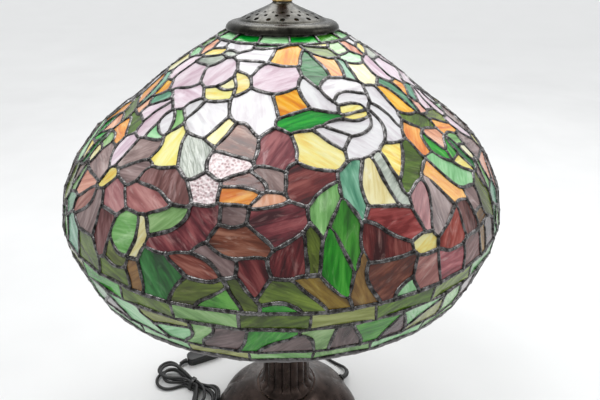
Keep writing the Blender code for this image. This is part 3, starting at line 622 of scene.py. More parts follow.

# The flowers of one sector. Each piece of glass is named by its kind and outlined by listed points:
# degrees around the shade from the front, and millimetres up its face from the rim.
FLOWER_GLASS = [
    # leaves and stems at the bottom, front
    ("forest", [(-28.5, 92), (-22.5, 91.5), (-18.8, 82), (-21, 71), (-22, 61), (-27, 60.5), (-28.8, 78)]),
    ("olive", [(-18.2, 79), (-14.5, 77.5), (-10.8, 79.5), (-12, 73), (-17, 62), (-21.5, 60.5), (-20.5, 70)]),
    ("leaf", [(-10.8, 75), (-9.5, 68), (-8.2, 61), (-16, 61), (-14, 66)]),
    ("olive", [(-10.5, 82), (-8.5, 84), (-7.5, 75), (-5, 62), (-7.2, 61), (-9, 70)]),
    ("wine", [(-8.5, 97), (-6.5, 98), (-4.5, 97), (-3.3, 88), (-3.5, 80), (-4.8, 71), (-7.2, 79),
         (-8.7, 88)]),
    ("olive", [(-3.5, 80), (-1, 83), (1.5, 81), (4, 73), (6, 64), (7, 59.5), (3, 60), (.5, 66), (-2, 68),
         (-4, 67), (-4.8, 70)]),
    ("leaf", [(-4, 62), (-1.5, 67), (0, 66.5), (3, 60), (-4, 60)]),
    ("brown", [(2, 84.5), (5.5, 84), (8, 75), (12, 62), (8, 60), (6, 67), (3, 77)]),
    ("wine", [(.5, 108), (3.5, 115), (3.9, 104), (3.8, 89), (-1, 85), (-2.8, 93), (-1.5, 101)]),
    ("olive", [(4.2, 118), (5.5, 121), (6.8, 112), (6.3, 98), (5.8, 89), (4.3, 88.5), (4.1, 100)]),
    ("leaf", [(8.8, 117), (10, 113), (11.5, 100), (12.3, 88), (11.5, 75), (10.5, 69), (8.5, 78), (7, 87),
         (7.2, 103)]),
    ("leaf", [(9.2, 121), (12, 133), (13, 137), (14.6, 128), (14.8, 115), (14, 100), (12.8, 88), (11.5, 97),
         (10.3, 108)]),
    ("sage", [(5.3, 130), (7, 141), (10, 149), (12.2, 151), (11.8, 141), (9.5, 127), (8, 117), (7.5, 113),
         (5.8, 121)]),
    ("brown", [(11.8, 64), (12.5, 75), (13.2, 84), (14.7, 96), (15, 86), (14.5, 77), (16.3, 62), (13, 60.5)]),
    # dark red peony
    ("wine", [(-6.5, 131), (-3, 134.5), (.5, 136), (3.5, 133), (4.2, 128), (4, 120), (1.5, 113),
         (-1.5, 108.5), (-4, 115), (-6.8, 124)]),
    ("brick", [(-13, 118), (-10.5, 117), (-8, 120), (-6, 115), (-3, 106.5), (-4.5, 101), (-8, 99),
         (-11.5, 98.5), (-14.5, 106), (-14.2, 112)]),
    ("wine", [(-19, 132), (-14, 132), (-13.3, 126), (-14.2, 115), (-17, 103), (-20, 97), (-25, 95),
         (-27.3, 99), (-25, 104), (-21.5, 110), (-20, 120)]),
    ("mauve", [(-16, 105.5), (-14.8, 104.5), (-11.5, 98), (-9.2, 96), (-9, 89), (-10.5, 84.5), (-12, 89),
         (-14, 97), (-17.5, 100.5)]),
    ("brick", [(-21, 97), (-18, 96), (-15, 93), (-12.3, 85), (-13, 81), (-16, 80), (-19, 83), (-22.8, 91.5)]),
    ("mauve", [(-12.5, 135), (-8.5, 135.5), (-8, 129), (-8.5, 122), (-10.5, 120.5), (-12.5, 123),
         (-13, 129)]),
    ("amber", [(-14, 148), (-10, 149.5), (-7.5, 148), (-5.5, 143), (-7, 137.5), (-10, 135.5), (-13.5, 137),
         (-14.2, 142)]),
    ("salmon", [(-7, 137), (-5, 142), (-2, 145.5), (0, 142), (-.3, 138.5), (-3, 135.5), (-6, 134.5)]),
    ("wine", [(-13.7, 153), (-11.5, 158), (-8.5, 161.5), (-6, 158), (-4.3, 152), (-4.8, 148), (-8, 150),
         (-14, 150)]),
    ("mauve", [(-7.3, 163), (-5.5, 167.5), (-3, 166.5), (-.5, 162.5), (0, 155), (-.3, 147.5), (-2.5, 148),
         (-4.3, 155)]),
    ("crystal", [(-19.5, 175), (-17.5, 177.5), (-13, 174), (-9.5, 173), (-8.5, 168), (-9.5, 163.5),
         (-12.5, 160), (-15.5, 155), (-18.5, 163), (-20, 168)]),
    ("wine", [(1.5, 168), (4, 168), (7.5, 163.5), (12, 160), (12.3, 155), (9.5, 150), (6.5, 145), (5, 138),
         (3, 140), (.8, 146), (1, 158)]),
    ("crystal", [(-22.5, 150), (-19.5, 156.5), (-16.3, 153), (-14.8, 150), (-15, 140), (-15.3, 133),
         (-18, 132.5), (-19.5, 135)]),
    ("brick", [(-15.5, 203), (-13, 205), (-10.5, 201.5), (-8, 193), (-7.3, 183), (-8.2, 174.5), (-13, 178),
         (-18.7, 181), (-17.5, 190)]),
    ("brick", [(-6.7, 196), (-3, 201), (0, 199), (1.8, 192), (3, 183), (2, 173), (0, 166), (-3.5, 168),
         (-6.8, 170.5)]),
    # dusty pink flower and its leaves, left
    ("lemon", [(-34.5, 196), (-32, 192), (-28.3, 161), (-32, 158), (-36.5, 161), (-35.5, 172), (-36.8, 183)]),
    ("plum", [(-35.7, 150), (-30.5, 154), (-28, 157.5), (-25.3, 155), (-22.8, 147), (-20.4, 134),
         (-21.5, 131.3), (-25, 133.8), (-28.5, 139), (-35, 141.5)]),
    ("rose", [(-38, 131), (-36, 136.5), (-33, 138.5), (-29, 137), (-26.8, 131), (-25.5, 127.5), (-28.8, 121),
         (-33.5, 117.5), (-36, 119.5)]),
    ("rose", [(-44.5, 126), (-42.5, 135), (-40.5, 134.5), (-38, 126), (-36, 117.5), (-38.5, 111.5),
         (-42, 112.5), (-44.5, 119.5)]),
    ("mauve", [(-44, 143), (-41, 152), (-38, 158.5), (-35.7, 156.5), (-36.5, 148), (-38, 139.5), (-39, 136),
         (-42, 138.5)]),
    ("mauve", [(-46.5, 165), (-46, 172), (-42, 176), (-37.3, 178.5), (-37, 170), (-37.8, 160), (-41.5, 153.5),
         (-44.5, 144.5), (-46.8, 146)]),
    ("lilac", [(-52.8, 165), (-51.5, 172), (-49.5, 174.5), (-47, 170), (-46.3, 160), (-46.5, 147),
         (-47.5, 142), (-50, 146), (-52, 153)]),
    ("mauve", [(-57.5, 140), (-58, 150), (-56, 157), (-53.8, 156), (-51, 147), (-48.8, 137), (-49, 128),
         (-53, 128), (-57.5, 130)]),
    ("lemon", [(-47.3, 143), (-45.5, 143.5), (-44, 139), (-45, 131), (-47.5, 124), (-48.6, 124.5),
         (-47.5, 134)]),
    ("salmon", [(-57.5, 127), (-51.5, 126.5), (-49.2, 124.5), (-51, 119), (-54, 110), (-57.5, 106),
         (-58.3, 116)]),
    ("rose", [(-53, 110), (-50.5, 118), (-48.5, 120), (-48, 112), (-50, 103), (-54, 94), (-55.3, 97)]),
    ("mauve", [(-47.5, 119.5), (-45, 118.5), (-44.3, 108), (-43.6, 98), (-44, 88), (-47, 84.5), (-51, 85),
         (-52.8, 88.5), (-49, 101), (-47.5, 110)]),
    ("plum", [(-43.7, 107), (-41.5, 110.5), (-38.2, 108.5), (-39, 98), (-38.5, 88), (-39.7, 75), (-41.5, 78),
         (-43.2, 87), (-43.5, 97)]),
    ("sage", [(-35.5, 115.5), (-33, 116.5), (-31.3, 110), (-31, 98), (-32.5, 87), (-34.5, 83), (-36.8, 91),
         (-37.5, 101), (-37, 110)]),
    ("cream", [(-30.7, 117), (-29, 112), (-28.5, 100), (-29.3, 88), (-31, 84.5), (-30.7, 97), (-30.9, 108)]),
    ("olive", [(-38, 90), (-37.8, 80), (-36, 73), (-33, 74), (-32, 80), (-34, 81.5), (-36.3, 86)]),
    ("brown", [(-32, 77), (-30.5, 83), (-29, 81), (-27.3, 62), (-30.3, 60.5), (-31, 69)]),
    ("sage", [(-29.3, 119), (-25.5, 124), (-22.5, 128), (-20.3, 127), (-21, 121), (-24, 113), (-28, 107.5)]),
    ("olive", [(-39.3, 73), (-37.5, 72), (-35, 69.5), (-32.5, 73), (-31, 60.5), (-39.8, 60.5)]),
    ("olive", [(-49, 84), (-45, 82.5), (-43.3, 82), (-41, 72.5), (-40.2, 60.5), (-48.8, 60.5)]),
    ("teal", [(-57, 84), (-54, 88), (-50.5, 84), (-49.7, 70), (-49.5, 60.5), (-56, 60.5)]),
    ("teal", [(-62, 90), (-60, 100), (-57, 104), (-55.5, 95), (-57.5, 86), (-61, 84)]),
    ("sage", [(-63, 64), (-63, 78), (-60, 82), (-58, 74), (-57.5, 62)]),
    ("sage", [(-62, 108), (-60.5, 124), (-58.5, 127), (-58.2, 108), (-60, 103)]),
    ("sage", [(-63, 152), (-63, 160), (-60, 165), (-57.8, 160), (-58.3, 152), (-60, 148)]),
    ("amber", [(-63, 170), (-61, 184), (-57, 175), (-54, 166), (-54.5, 160), (-57.5, 162), (-61, 168)]),
    ("olive", [(-62, 189), (-57, 191), (-52.5, 186), (-52, 177), (-54, 173), (-57, 178)]),
    ("mint", [(-45, 192), (-42.5, 186), (-38.7, 181.5), (-39, 178.5), (-44, 178.5), (-45, 184)]),
    # pale lilac flower, upper left
    ("cream", [(-28.5, 240.5), (-25.5, 245.5), (-24, 250), (-22, 246), (-21, 241), (-24, 238), (-26, 238.5)]),
    ("lemon", [(-34.5, 235.5), (-30, 238.5), (-26, 236.5), (-21, 236.5), (-21.5, 229), (-24, 226.5),
         (-28, 225), (-31.5, 227.5)]),
    ("lemon", [(-23.5, 257), (-19, 256), (-16, 248), (-16, 238.5), (-19, 233.5), (-19.8, 243), (-22, 250)]),
    ("milk", [(-28.5, 276), (-26, 281), (-20, 287), (-6.5, 288.5), (-7.5, 280), (-9.5, 273), (-27, 273.5)]),
    ("milk", [(-25.5, 272), (-11.5, 271.5), (-14, 264), (-15, 256.5), (-18.5, 258), (-22, 260), (-24, 265)]),
    ("lilac", [(-40, 262), (-37, 268), (-34.5, 272.5), (-31, 271.5), (-27.5, 269), (-25.2, 262), (-24.8, 253),
         (-27.5, 244.5), (-31, 240.5), (-35, 238), (-38.5, 244), (-42, 255)]),
    ("lilac", [(-56, 255), (-54, 261), (-46, 260.5), (-43, 252), (-40.8, 240), (-43, 235), (-50, 231),
         (-54, 230), (-58, 236), (-60, 241), (-58, 249)]),
    ("lilac", [(-50, 228.5), (-43, 233.5), (-37.5, 238), (-35, 234), (-33.5, 227), (-36.5, 220.5),
         (-39.5, 213), (-42.5, 211), (-45, 217), (-48.5, 223)]),
    ("milk", [(-38, 218), (-34, 224), (-31, 222.5), (-31.5, 215), (-34, 205.5), (-36, 208.5)]),
    ("milk", [(-31, 222), (-22, 225.5), (-20.2, 218), (-20, 210), (-22, 200), (-24, 190), (-28, 191.5),
         (-31.5, 197), (-33.5, 205)]),
    ("lemon", [(-18.7, 208.5), (-16.3, 205), (-17.5, 195), (-19.8, 184.5), (-23.5, 188.5), (-21.5, 198)]),
    ("smoke", [(-29.5, 189), (-24, 187.5), (-20.7, 181), (-20.2, 170), (-20, 160), (-21.8, 152), (-24, 152.5),
         (-26.5, 160), (-28.5, 172), (-30.3, 184)]),
    ("lilac", [(-58, 201), (-50, 212), (-47.5, 217.5), (-47.8, 211), (-51, 201), (-52.5, 192), (-57, 194.5),
         (-60, 197)]),
    ("lilac", [(-48, 213), (-46, 214), (-44, 208), (-45.5, 199), (-45.3, 190), (-46.5, 178), (-49, 175.5),
         (-50.5, 180), (-51, 192), (-50.5, 203)]),
    ("milk", [(-44, 203), (-42, 207), (-40.5, 205), (-38.8, 196), (-38.6, 186), (-40.5, 185), (-43, 191),
         (-44.3, 197)]),
    ("sage", [(-41, 210), (-38, 210), (-35.5, 204), (-35.2, 196), (-37, 191), (-38, 200)]),
    ("teal", [(-62, 203), (-60, 212), (-55, 220), (-49.5, 222), (-50, 219.5), (-55, 212.5), (-59, 204),
         (-61, 197)]),
    ("amber", [(-63, 232), (-58, 234), (-56.5, 228), (-58, 221), (-62, 214)]),
    ("smoke", [(-54, 262), (-51, 269), (-44, 274), (-38, 275.5), (-38, 270), (-40.5, 263.5), (-46, 262.5)]),
    ("lemon", [(-57, 276), (-52, 283), (-43, 284.5), (-41.5, 281), (-46, 276), (-53, 274.5)]),
    ("milk", [(-60, 293), (-50, 293), (-46, 293), (-47, 286.5), (-54, 284), (-58, 287)]),
    ("milk", [(-46, 293), (-40, 294), (-30, 294), (-22, 293.5), (-24, 288), (-30, 285), (-36, 284),
         (-44, 287)]),
    ("smoke", [(-41, 280), (-36, 284), (-32.5, 279), (-35, 276), (-38, 276.5)]),
    ("forest", [(-20, 294), (3, 294.5), (5, 294), (-5, 291.5), (-15, 290.5), (-20, 292)]),
    # upper middle
    ("amber", [(-5, 281), (-3, 288), (2, 293), (9, 294), (13, 289), (10.5, 280), (9, 269.5), (0, 268.5),
         (-6.5, 272.5)]),
    ("forest", [(14.5, 285), (18, 279), (21, 268), (22.5, 255), (19, 250), (14.8, 245.5), (11.5, 254),
         (10, 266), (11, 277)]),
    ("lilac", [(-14, 255), (-12, 264), (-8, 268.5), (0, 266.5), (6, 264.5), (6.6, 255), (5.5, 245),
         (1, 239.5), (-5, 237.5), (-11, 241)]),
    ("milk", [(-19, 229), (-15, 236), (-12, 238.5), (-5, 235), (-3.5, 226), (-2.5, 213), (-4, 203),
         (-7, 194.5), (-9.5, 200), (-12, 208.5), (-16, 209.5), (-18.8, 219)]),
    ("amber", [(-3.5, 233), (5.5, 239.5), (6.5, 232), (8.5, 223), (4, 219), (-1, 214), (-2, 222)]),
    ("leaf", [(-2.2, 209), (2, 214), (9, 218.5), (14, 216.5), (19.5, 211), (13, 206.5), (8, 201.5),
         (2, 200.5), (-1, 204)]),
    ("milk", [(8, 248), (9.5, 250), (12, 244), (15, 231), (19.2, 222), (19, 216), (13, 219.5), (9.5, 225),
         (7.5, 237)]),
    ("lemon", [(3.5, 198), (8.5, 199.5), (11, 194), (15.8, 179), (16.3, 172), (14, 164), (9, 165.5), (5, 170),
         (4.2, 180)]),
    # white peony, right
    ("milk", [(9.5, 202), (12, 202.5), (17, 196), (20, 192.5), (17.5, 186), (16.5, 181.5), (13, 190)]),
    ("milk", [(13.5, 204.5), (17, 207), (21, 205.5), (25, 203), (29.5, 204.5), (29, 199), (26, 194.5),
         (22, 192.5), (20, 194)]),
    ("milk", [(16.8, 171), (18, 181), (20.5, 189.5), (25, 191), (28.5, 195), (31.5, 203), (32.3, 210),
         (33, 205), (33, 195), (31, 185), (27, 177), (22, 172)]),
    ("lemon", [(20.3, 217), (22, 221), (26, 222), (30, 218.5), (28, 215.5), (24, 213.5), (20.7, 213.5)]),
    ("lemon", [(21, 210.5), (25, 212), (29.5, 210.5), (28.5, 208), (26, 206.5), (23, 207.5)]),
    ("milk", [(20.2, 226), (22, 231), (26, 234), (30, 232), (34, 227.5), (33, 223), (31, 218.5), (29.5, 222),
         (26, 224), (22, 223)]),
    ("milk", [(17.5, 241), (18.5, 248), (21, 250.5), (28, 249), (34, 244), (35.8, 238), (35.5, 232),
         (32, 233), (27, 236.5), (22, 235.5), (19.5, 228)]),
    ("milk", [(36, 236), (41, 235.5), (43.3, 227), (43.3, 212), (42.5, 201), (40.5, 194), (39.7, 193),
         (39.5, 203), (38.3, 213), (36.3, 221), (37, 228)]),
    ("milk", [(34.5, 216), (36.5, 213), (38.5, 203), (39, 190), (37.5, 181), (33, 179.5), (31, 180.5),
         (33.5, 190), (34.3, 200), (33, 210)]),
    # upper right
    ("amber", [(18.5, 280), (22, 278), (28, 272.5), (32.3, 271), (31.5, 260), (30.5, 252), (23.5, 253),
         (23.5, 262), (20.5, 273)]),
    ("olive", [(15, 292), (21, 291), (29, 288.5), (35, 283), (35.5, 277), (29, 276.5), (23, 281),
         (17.5, 286)]),
    ("lemon", [(17, 293.5), (25, 294), (36, 294), (35.5, 291), (28, 291.5), (21, 292.5)]),
    ("sage", [(36, 288), (39, 293), (44, 294), (48, 293), (50, 285), (48, 280), (42, 278), (37, 279)]),
    ("mint", [(38.5, 274), (42, 277), (50, 278), (56, 271.5), (52, 267), (47, 263.5), (41, 265.5)]),
    ("cream", [(37.5, 262), (39, 265), (43, 263), (50, 260.5), (50, 252), (48.5, 243), (45, 238.5), (39, 239),
         (37, 245)]),
    ("teal", [(33.5, 271), (36.8, 266), (36.5, 253), (35, 245), (31, 249.5), (31.5, 255), (33, 262)]),
    ("salmon", [(51, 286), (53, 293), (57, 294), (61, 292), (62, 278), (57, 271), (52, 277)]),
    ("lilac", [(51, 258), (55, 266), (60, 266), (60, 236), (55, 236), (52, 243), (49.5, 249)]),
    ("teal", [(47, 237), (50, 240), (54, 236), (57, 226), (57, 212), (55, 201), (53.5, 205), (53, 216),
         (51, 226)]),
    ("amber", [(44, 232), (47, 233.5), (50, 228), (51.5, 216), (53, 202), (50, 199.5), (46.5, 203.5),
         (44.5, 212), (44, 222)]),
    ("salmon", [(57.5, 197), (58, 212), (61, 210), (62, 198), (60, 192)]),
    ("olive", [(43.8, 202), (47, 198.5), (52, 194.5), (55, 186), (54.5, 178.5), (50, 184), (46.3, 189.5)]),
    ("amber", [(39.3, 183), (43, 192), (46.5, 184), (44, 175), (42.8, 162), (40, 162)]),
    ("lemon", [(27.5, 170), (28.5, 177), (31, 179), (34.5, 175.5), (33.5, 168), (30.5, 156), (28.5, 149.5),
         (27.8, 158)]),
    ("olive", [(27.8, 137), (29.5, 148), (32, 158), (35, 170), (37.5, 177.5), (38.5, 172), (38.3, 160),
         (36, 150), (32, 143), (29, 136)]),
    # red flower and its leaves, right
    ("teal", [(13, 148), (13.5, 158), (15.5, 165), (18.5, 170), (19.5, 168), (18, 157), (17, 146), (17, 135),
         (16.7, 127), (15.8, 124), (14.3, 130), (13.2, 138)]),
    ("cream", [(18, 136), (18.5, 150), (20, 160), (22.2, 170), (23.2, 165), (23.5, 150), (24, 140),
         (24.7, 127), (22, 127.5), (19, 131)]),
    ("smoke", [(24.3, 168), (25.5, 172), (27, 168), (27, 155), (27, 140), (27.5, 126), (25.3, 127),
         (24.5, 140)]),
    ("lemon", [(26, 95), (26.8, 99.5), (28.7, 101.3), (30.7, 100), (31.7, 95.5), (31, 90), (28.8, 87.5),
         (26.8, 90)]),
    ("red", [(17, 122), (18, 127), (20.5, 129.5), (24, 128), (27, 122), (28.7, 113), (29.3, 105), (27, 101),
         (24.5, 101), (21, 109), (19.3, 117)]),
    ("wine", [(15.3, 112), (16.5, 117.5), (19, 114.5), (22, 106), (25, 98.5), (25.2, 93), (22, 90),
         (18, 90.5), (15.8, 95), (15, 103)]),
    ("wine", [(15.3, 87), (18, 88), (25.8, 88.5), (25, 77), (23, 70), (19.5, 62.5), (17.2, 67), (15.7, 76)]),
    ("rose", [(26.5, 84), (31, 83.5), (31.5, 75), (31.5, 66), (30.3, 60.5), (27.5, 61.5), (25.8, 68),
         (25.8, 77)]),
    ("mint", [(22, 65), (23.8, 70.5), (25, 62), (24.5, 60.5), (21.5, 61)]),
    ("red", [(32, 80), (32.5, 83.5), (34.5, 79), (39.5, 78), (39.5, 70), (37.5, 62), (34.5, 60), (32.3, 64),
         (31.8, 72)]),
    ("red", [(32.5, 91), (35, 97), (37.5, 103.5), (40, 108), (40.8, 104), (40.5, 95), (40.3, 86), (38, 82),
         (35, 82.5), (33, 87)]),
    ("plum", [(41.8, 112), (43.5, 111.5), (45.5, 104), (46.5, 93), (45, 86), (42, 86.5), (41.2, 97)]),
    ("rose", [(28.7, 112), (28.8, 125), (30, 133), (32.5, 138.5), (34.3, 136), (34, 127), (33, 118),
         (31.5, 108), (30.5, 101.5), (29.7, 104)]),
    ("mauve", [(35, 139), (36.5, 134), (38.5, 122), (39.3, 112), (37, 104), (33, 98), (31.8, 98), (32, 106),
         (33.5, 117), (34.5, 128)]),
    ("amber", [(35.5, 146), (38.5, 151), (40, 148), (41.5, 138), (43, 129), (45, 120), (45, 115), (41, 116.5),
         (39.5, 124), (37.5, 136)]),
    ("mint", [(41, 153), (43.5, 155), (46, 147), (49, 137), (52.5, 127), (52.5, 121), (49, 120.5), (45, 124),
         (43, 136), (41.5, 144)]),
    ("leaf", [(45, 165), (46, 175), (47.5, 170), (49, 155), (49, 148), (46.5, 151), (45, 157)]),
    ("salmon", [(48, 172), (50, 179), (54, 176), (54.5, 168), (52, 160), (49.5, 157.5)]),
    ("leaf", [(50, 150), (52.5, 158), (54.5, 163), (54.5, 155), (52.5, 146), (49.5, 147)]),
    ("lemon", [(50, 142), (52.8, 145), (54.8, 130), (52.5, 133)]),
    ("forest", [(54.5, 160), (57, 158), (57.5, 140), (59, 128), (57, 126), (54.8, 140)]),
    ("cream", [(57.5, 148), (59, 154), (60.5, 147), (60.5, 138), (59, 134), (57.8, 138)]),
    ("olive", [(51.8, 108), (52.5, 120), (54, 121), (56, 115), (57.5, 103), (57, 90), (55, 82), (52.5, 87),
         (51.3, 97)]),
    ("mauve", [(46.5, 118), (50, 117), (51, 108), (50, 100), (46.8, 98)]),
    ("brown", [(47, 97), (50, 97), (50.8, 88), (48, 86)]),
    ("plum", [(40.5, 80), (44, 82), (46.5, 78), (46, 62), (40.5, 62)]),
    ("brown", [(47, 80), (49, 84), (49.5, 70), (48.5, 62), (46.8, 64)]),
    ("dusk", [(50, 84), (53.5, 84), (55, 75), (54.5, 63), (50, 61.5)]),
    ("forest", [(56, 64), (56.5, 80), (58.5, 92), (60, 84), (59.5, 70), (59, 62)]),
    ("mauve", [(57, 108), (56.5, 120), (59, 132), (59.5, 118), (59, 108)]),
]
# The belt of wavy pieces near the rim, the same way.
WAVE_GLASS = [
    ("mint", [(-37, 36), (-35, 39.5), (-31.5, 39.5), (-27, 20), (-26, 13), (-29, 12.5), (-33, 15),
         (-37.5, 28)]),
    ("khaki", [(-30, 36), (-28, 40.5), (-19, 40.5), (-18.7, 37), (-23, 32), (-27, 28.5)]),
    ("mint", [(-26.5, 26), (-25, 30), (-20, 31.5), (-18.7, 34), (-18.3, 28), (-19.5, 20), (-22, 14),
         (-24.5, 16)]),
    ("sage", [(-18, 40), (-14, 40.5), (-13.7, 36), (-15, 28), (-17, 20), (-18.5, 14), (-20.5, 14),
         (-18.3, 24)]),
    ("dusk", [(-13, 40.5), (-7.5, 40.5), (-8, 30), (-8.7, 18), (-10, 15), (-15, 14), (-16.5, 19), (-14, 30)]),
    ("leaf", [(-6.8, 40), (1.5, 39.5), (1, 32), (-2, 26), (-4.5, 19), (-7, 14), (-8.8, 14), (-7.5, 26)]),
    ("dusk", [(3, 33), (1, 30), (-2.5, 24), (-4, 18), (-4.5, 14), (5, 14), (5, 25)]),
    ("sage", [(3.5, 38), (5, 40.5), (9.2, 40.5), (9, 30), (8, 14), (7.5, 12.5), (6.2, 13), (5.8, 20),
         (5.5, 30)]),
    ("dusk", [(9.8, 40), (12.3, 40), (13.5, 30), (14.8, 20), (14.5, 14), (11, 14), (8.8, 14), (9, 25)]),
    ("leaf", [(13, 40), (18, 40.5), (22.3, 40.5), (22, 35), (20.5, 25), (19.5, 20), (18, 14), (16.3, 14),
         (15.3, 22), (14.3, 30)]),
    ("dusk", [(23.5, 36), (24.5, 28), (25, 21), (23, 14), (20.5, 14), (20.8, 20)]),
    ("mint", [(24.5, 40.5), (33, 40.5), (33.5, 39), (31, 33), (28, 27), (26.5, 21), (25.8, 22), (25, 30)]),
    ("khaki", [(34, 37), (35, 28), (35.5, 21), (33, 14), (28, 14), (26.5, 16), (28.5, 24), (31.5, 31)]),
    ("sage", [(35.5, 40.5), (40, 40.5), (41, 33), (42, 25), (40, 14), (37.5, 14), (36.5, 20), (35.8, 28)]),
    ("dusk", [(41, 40), (46.5, 40), (47.5, 30), (48.5, 18), (47, 14), (43, 14), (43.5, 22), (42, 32)]),
    ("mint", [(48, 40), (54, 40), (55.5, 34), (54, 26), (52, 18), (51, 14), (49.8, 16), (49, 30)]),
    ("dusk", [(56.5, 34), (55, 25), (53.5, 18), (53.5, 14), (59.5, 14), (60.5, 22), (59.5, 32)]),
    ("sage", [(57, 40), (62, 40.5), (62.8, 32), (63, 22), (62.5, 14), (61, 14), (61.5, 24), (60.5, 34)]),
    ("khaki", [(63.5, 40), (69, 40), (70.5, 30), (70.5, 20), (69, 14), (64, 14), (64.2, 28)]),
    ("leaf", [(70.5, 40), (78, 40), (79, 32), (76, 24), (74, 16), (72.5, 14), (71.5, 18), (72, 30)]),
    ("dusk", [(79.8, 30), (77.5, 22), (75.5, 14), (81, 14), (82.5, 20), (81.5, 28)]),
]


def profile_table():
    """The shade's outline, finely spaced: arc length, radius, height and conformal height of each point."""
    fine = fine_curve(SHADE_OUTLINE, 40)
    along = run_of(steps_of(fine))
    middle = (fine[1:, 0] + fine[:-1, 0]) / 2
    conformal = run_of(np.diff(along) / middle)
    return along, fine[:, 0], fine[:, 1], conformal


ALONG, RADIUS, HEIGHT, CONFORMAL = profile_table()


def on_shade(angles, heights):
    """Points of the shade's outer face in millimetres, and the face's outward normals there.

    angles are in radians around from the front, heights are conformal ones.
    """
    angles, heights = np.asarray(angles, float), np.asarray(heights, float)
    s = np.interp(heights, CONFORMAL, ALONG)
    r, z = np.interp(s, ALONG, RADIUS), np.interp(s, ALONG, HEIGHT)
    near = 2  # millimetres to each side, over which the slope is taken
    dr = np.interp(s + near, ALONG, RADIUS) - np.interp(s - near, ALONG, RADIUS)
    dz = np.interp(s + near, ALONG, HEIGHT) - np.interp(s - near, ALONG, HEIGHT)
    size = np.hypot(dr, dz)
    place = np.stack([r * np.sin(angles), -r * np.cos(angles), z], -1)
    normal = np.stack([dz / size * np.sin(angles), -dz / size * np.cos(angles), -dr / size], -1)
    return place, normal


def up_face(s):
    """The conformal height of a distance from the rim."""
    return np.interp(s, ALONG, CONFORMAL)


GRID = 0.005  # step of the label grid, in radians around and the same up the face
REACH = 0.16  # how far outside its outline a piece may still claim a cell, in the same measure
SMALLEST = 12  # cells of the largest patch that is given to its neighbours
BELOW, ABOVE = -1, -2  # labels outside a band of glass


def distance_inside(points, outline):
    """How far each point lies outside an outline, negative inside it."""
    best = np.full(len(points), 1e9)
    inside = np.zeros(len(points), bool)
    for a, b in zip(outline, np.roll(outline, -1, axis=0)):
        edge = b - a
        t = np.clip(((points - a) @ edge) / max(edge @ edge, 1e-12), 0, 1)
        best = np.minimum(best, np.linalg.norm(points - a - t[:, None] * edge, axis=1))
        crosses = (a[1] > points[:, 1]) != (b[1] > points[:, 1])
        at = a[0] + (points[:, 1] - a[1]) / (edge[1] if abs(edge[1]) > 1e-12 else 1e-12) * edge[0]
        inside ^= crosses & (points[:, 0] < at)
    return np.where(inside, -best, best)


def label_grid(pieces, span):
    """Which piece each cell of one sector's grid belongs to: the one it is deepest inside, or nearest to."""
    low, high = up_face(span[0]), up_face(span[1])
    rows = max(4, round((high - low) / GRID))
    columns = round(math.radians(SECTOR) / GRID)
    turn = math.radians(SECTOR)
    xs = (np.arange(columns) + 0.5) * turn / columns - turn / 2
    ys = low + (np.arange(rows) + 0.5) * (high - low) / rows
    best = np.full((rows, columns), 1e9)
    label = np.zeros((rows, columns), int)
    for number, (_, outline) in enumerate(pieces):
        shape = np.array([(math.radians(a), up_face(s)) for a, s in outline])
        for shift in (-turn, 0.0, turn):
            moved = shape + (shift, 0.0)
            (left, bottom), (right, top) = moved.min(0) - REACH, moved.max(0) + REACH
            i = np.nonzero((ys > bottom) & (ys < top))[0]
            j = np.nonzero((xs > left) & (xs < right))[0]
            if len(i) == 0 or len(j) == 0:
                continue
            grid = np.stack(np.meshgrid(xs[j], ys[i]), -1).reshape(-1, 2)
            gap = distance_inside(grid, moved).reshape(len(i), len(j))
            block = np.ix_(i, j)
            closer = gap < best[block]
            best[block] = np.where(closer, gap, best[block])
            label[block] = np.where(closer, number, label[block])
    return mended(label), low, high


def mended(label):
    """The grid with every label in one patch, and no two patches that meet only at a corner."""
    rows, columns = label.shape

    def beside(i, j):
        ways = ((i + 1, j), (i - 1, j), (i, (j + 1) % columns), (i, (j - 1) % columns))
        return [(a, b) for a, b in ways if 0 <= a < rows]

    seen = np.zeros(label.shape, bool)
    patches = []
    for i0 in range(rows):
        for j0 in range(columns):
            if seen[i0, j0]:
                continue
            stack, cells = [(i0, j0)], []
            seen[i0, j0] = True
            while stack:
                i, j = stack.pop()
                cells.append((i, j))
                for a, b in beside(i, j):
                    if not seen[a, b] and label[a, b] == label[i0, j0]:
                        seen[a, b] = True
                        stack.append((a, b))
            patches.append((label[i0, j0], cells))
    largest = {}
    for number, cells in patches:
        largest[number] = max(largest.get(number, 0), len(cells))
    for number, cells in sorted(patches, key=lambda p: len(p[1])):
        if len(cells) == largest[number] and len(cells) > SMALLEST:
            continue
        ring = {}
        members = set(cells)
        for i, j in cells:
            for a, b in beside(i, j):
                if (a, b) not in members:
                    ring[label[a, b]] = ring.get(label[a, b], 0) + 1
        if ring:
            winner = max(sorted(ring), key=lambda k: ring[k])
            for i, j in cells:
                label[i, j] = winner
    for _ in range(4):
        for i in range(rows - 1):
            for j in range(columns):
                k = (j + 1) % columns
                a, b, c, d = label[i, j], label[i, k], label[i + 1, j], label[i + 1, k]
                if a == d and b == c and a != b:
                    label[i, j] = b
    return label


STEPS = ((0, 1), (1, 0), (0, -1), (-1, 0))  # (up, around) between the grid's corners


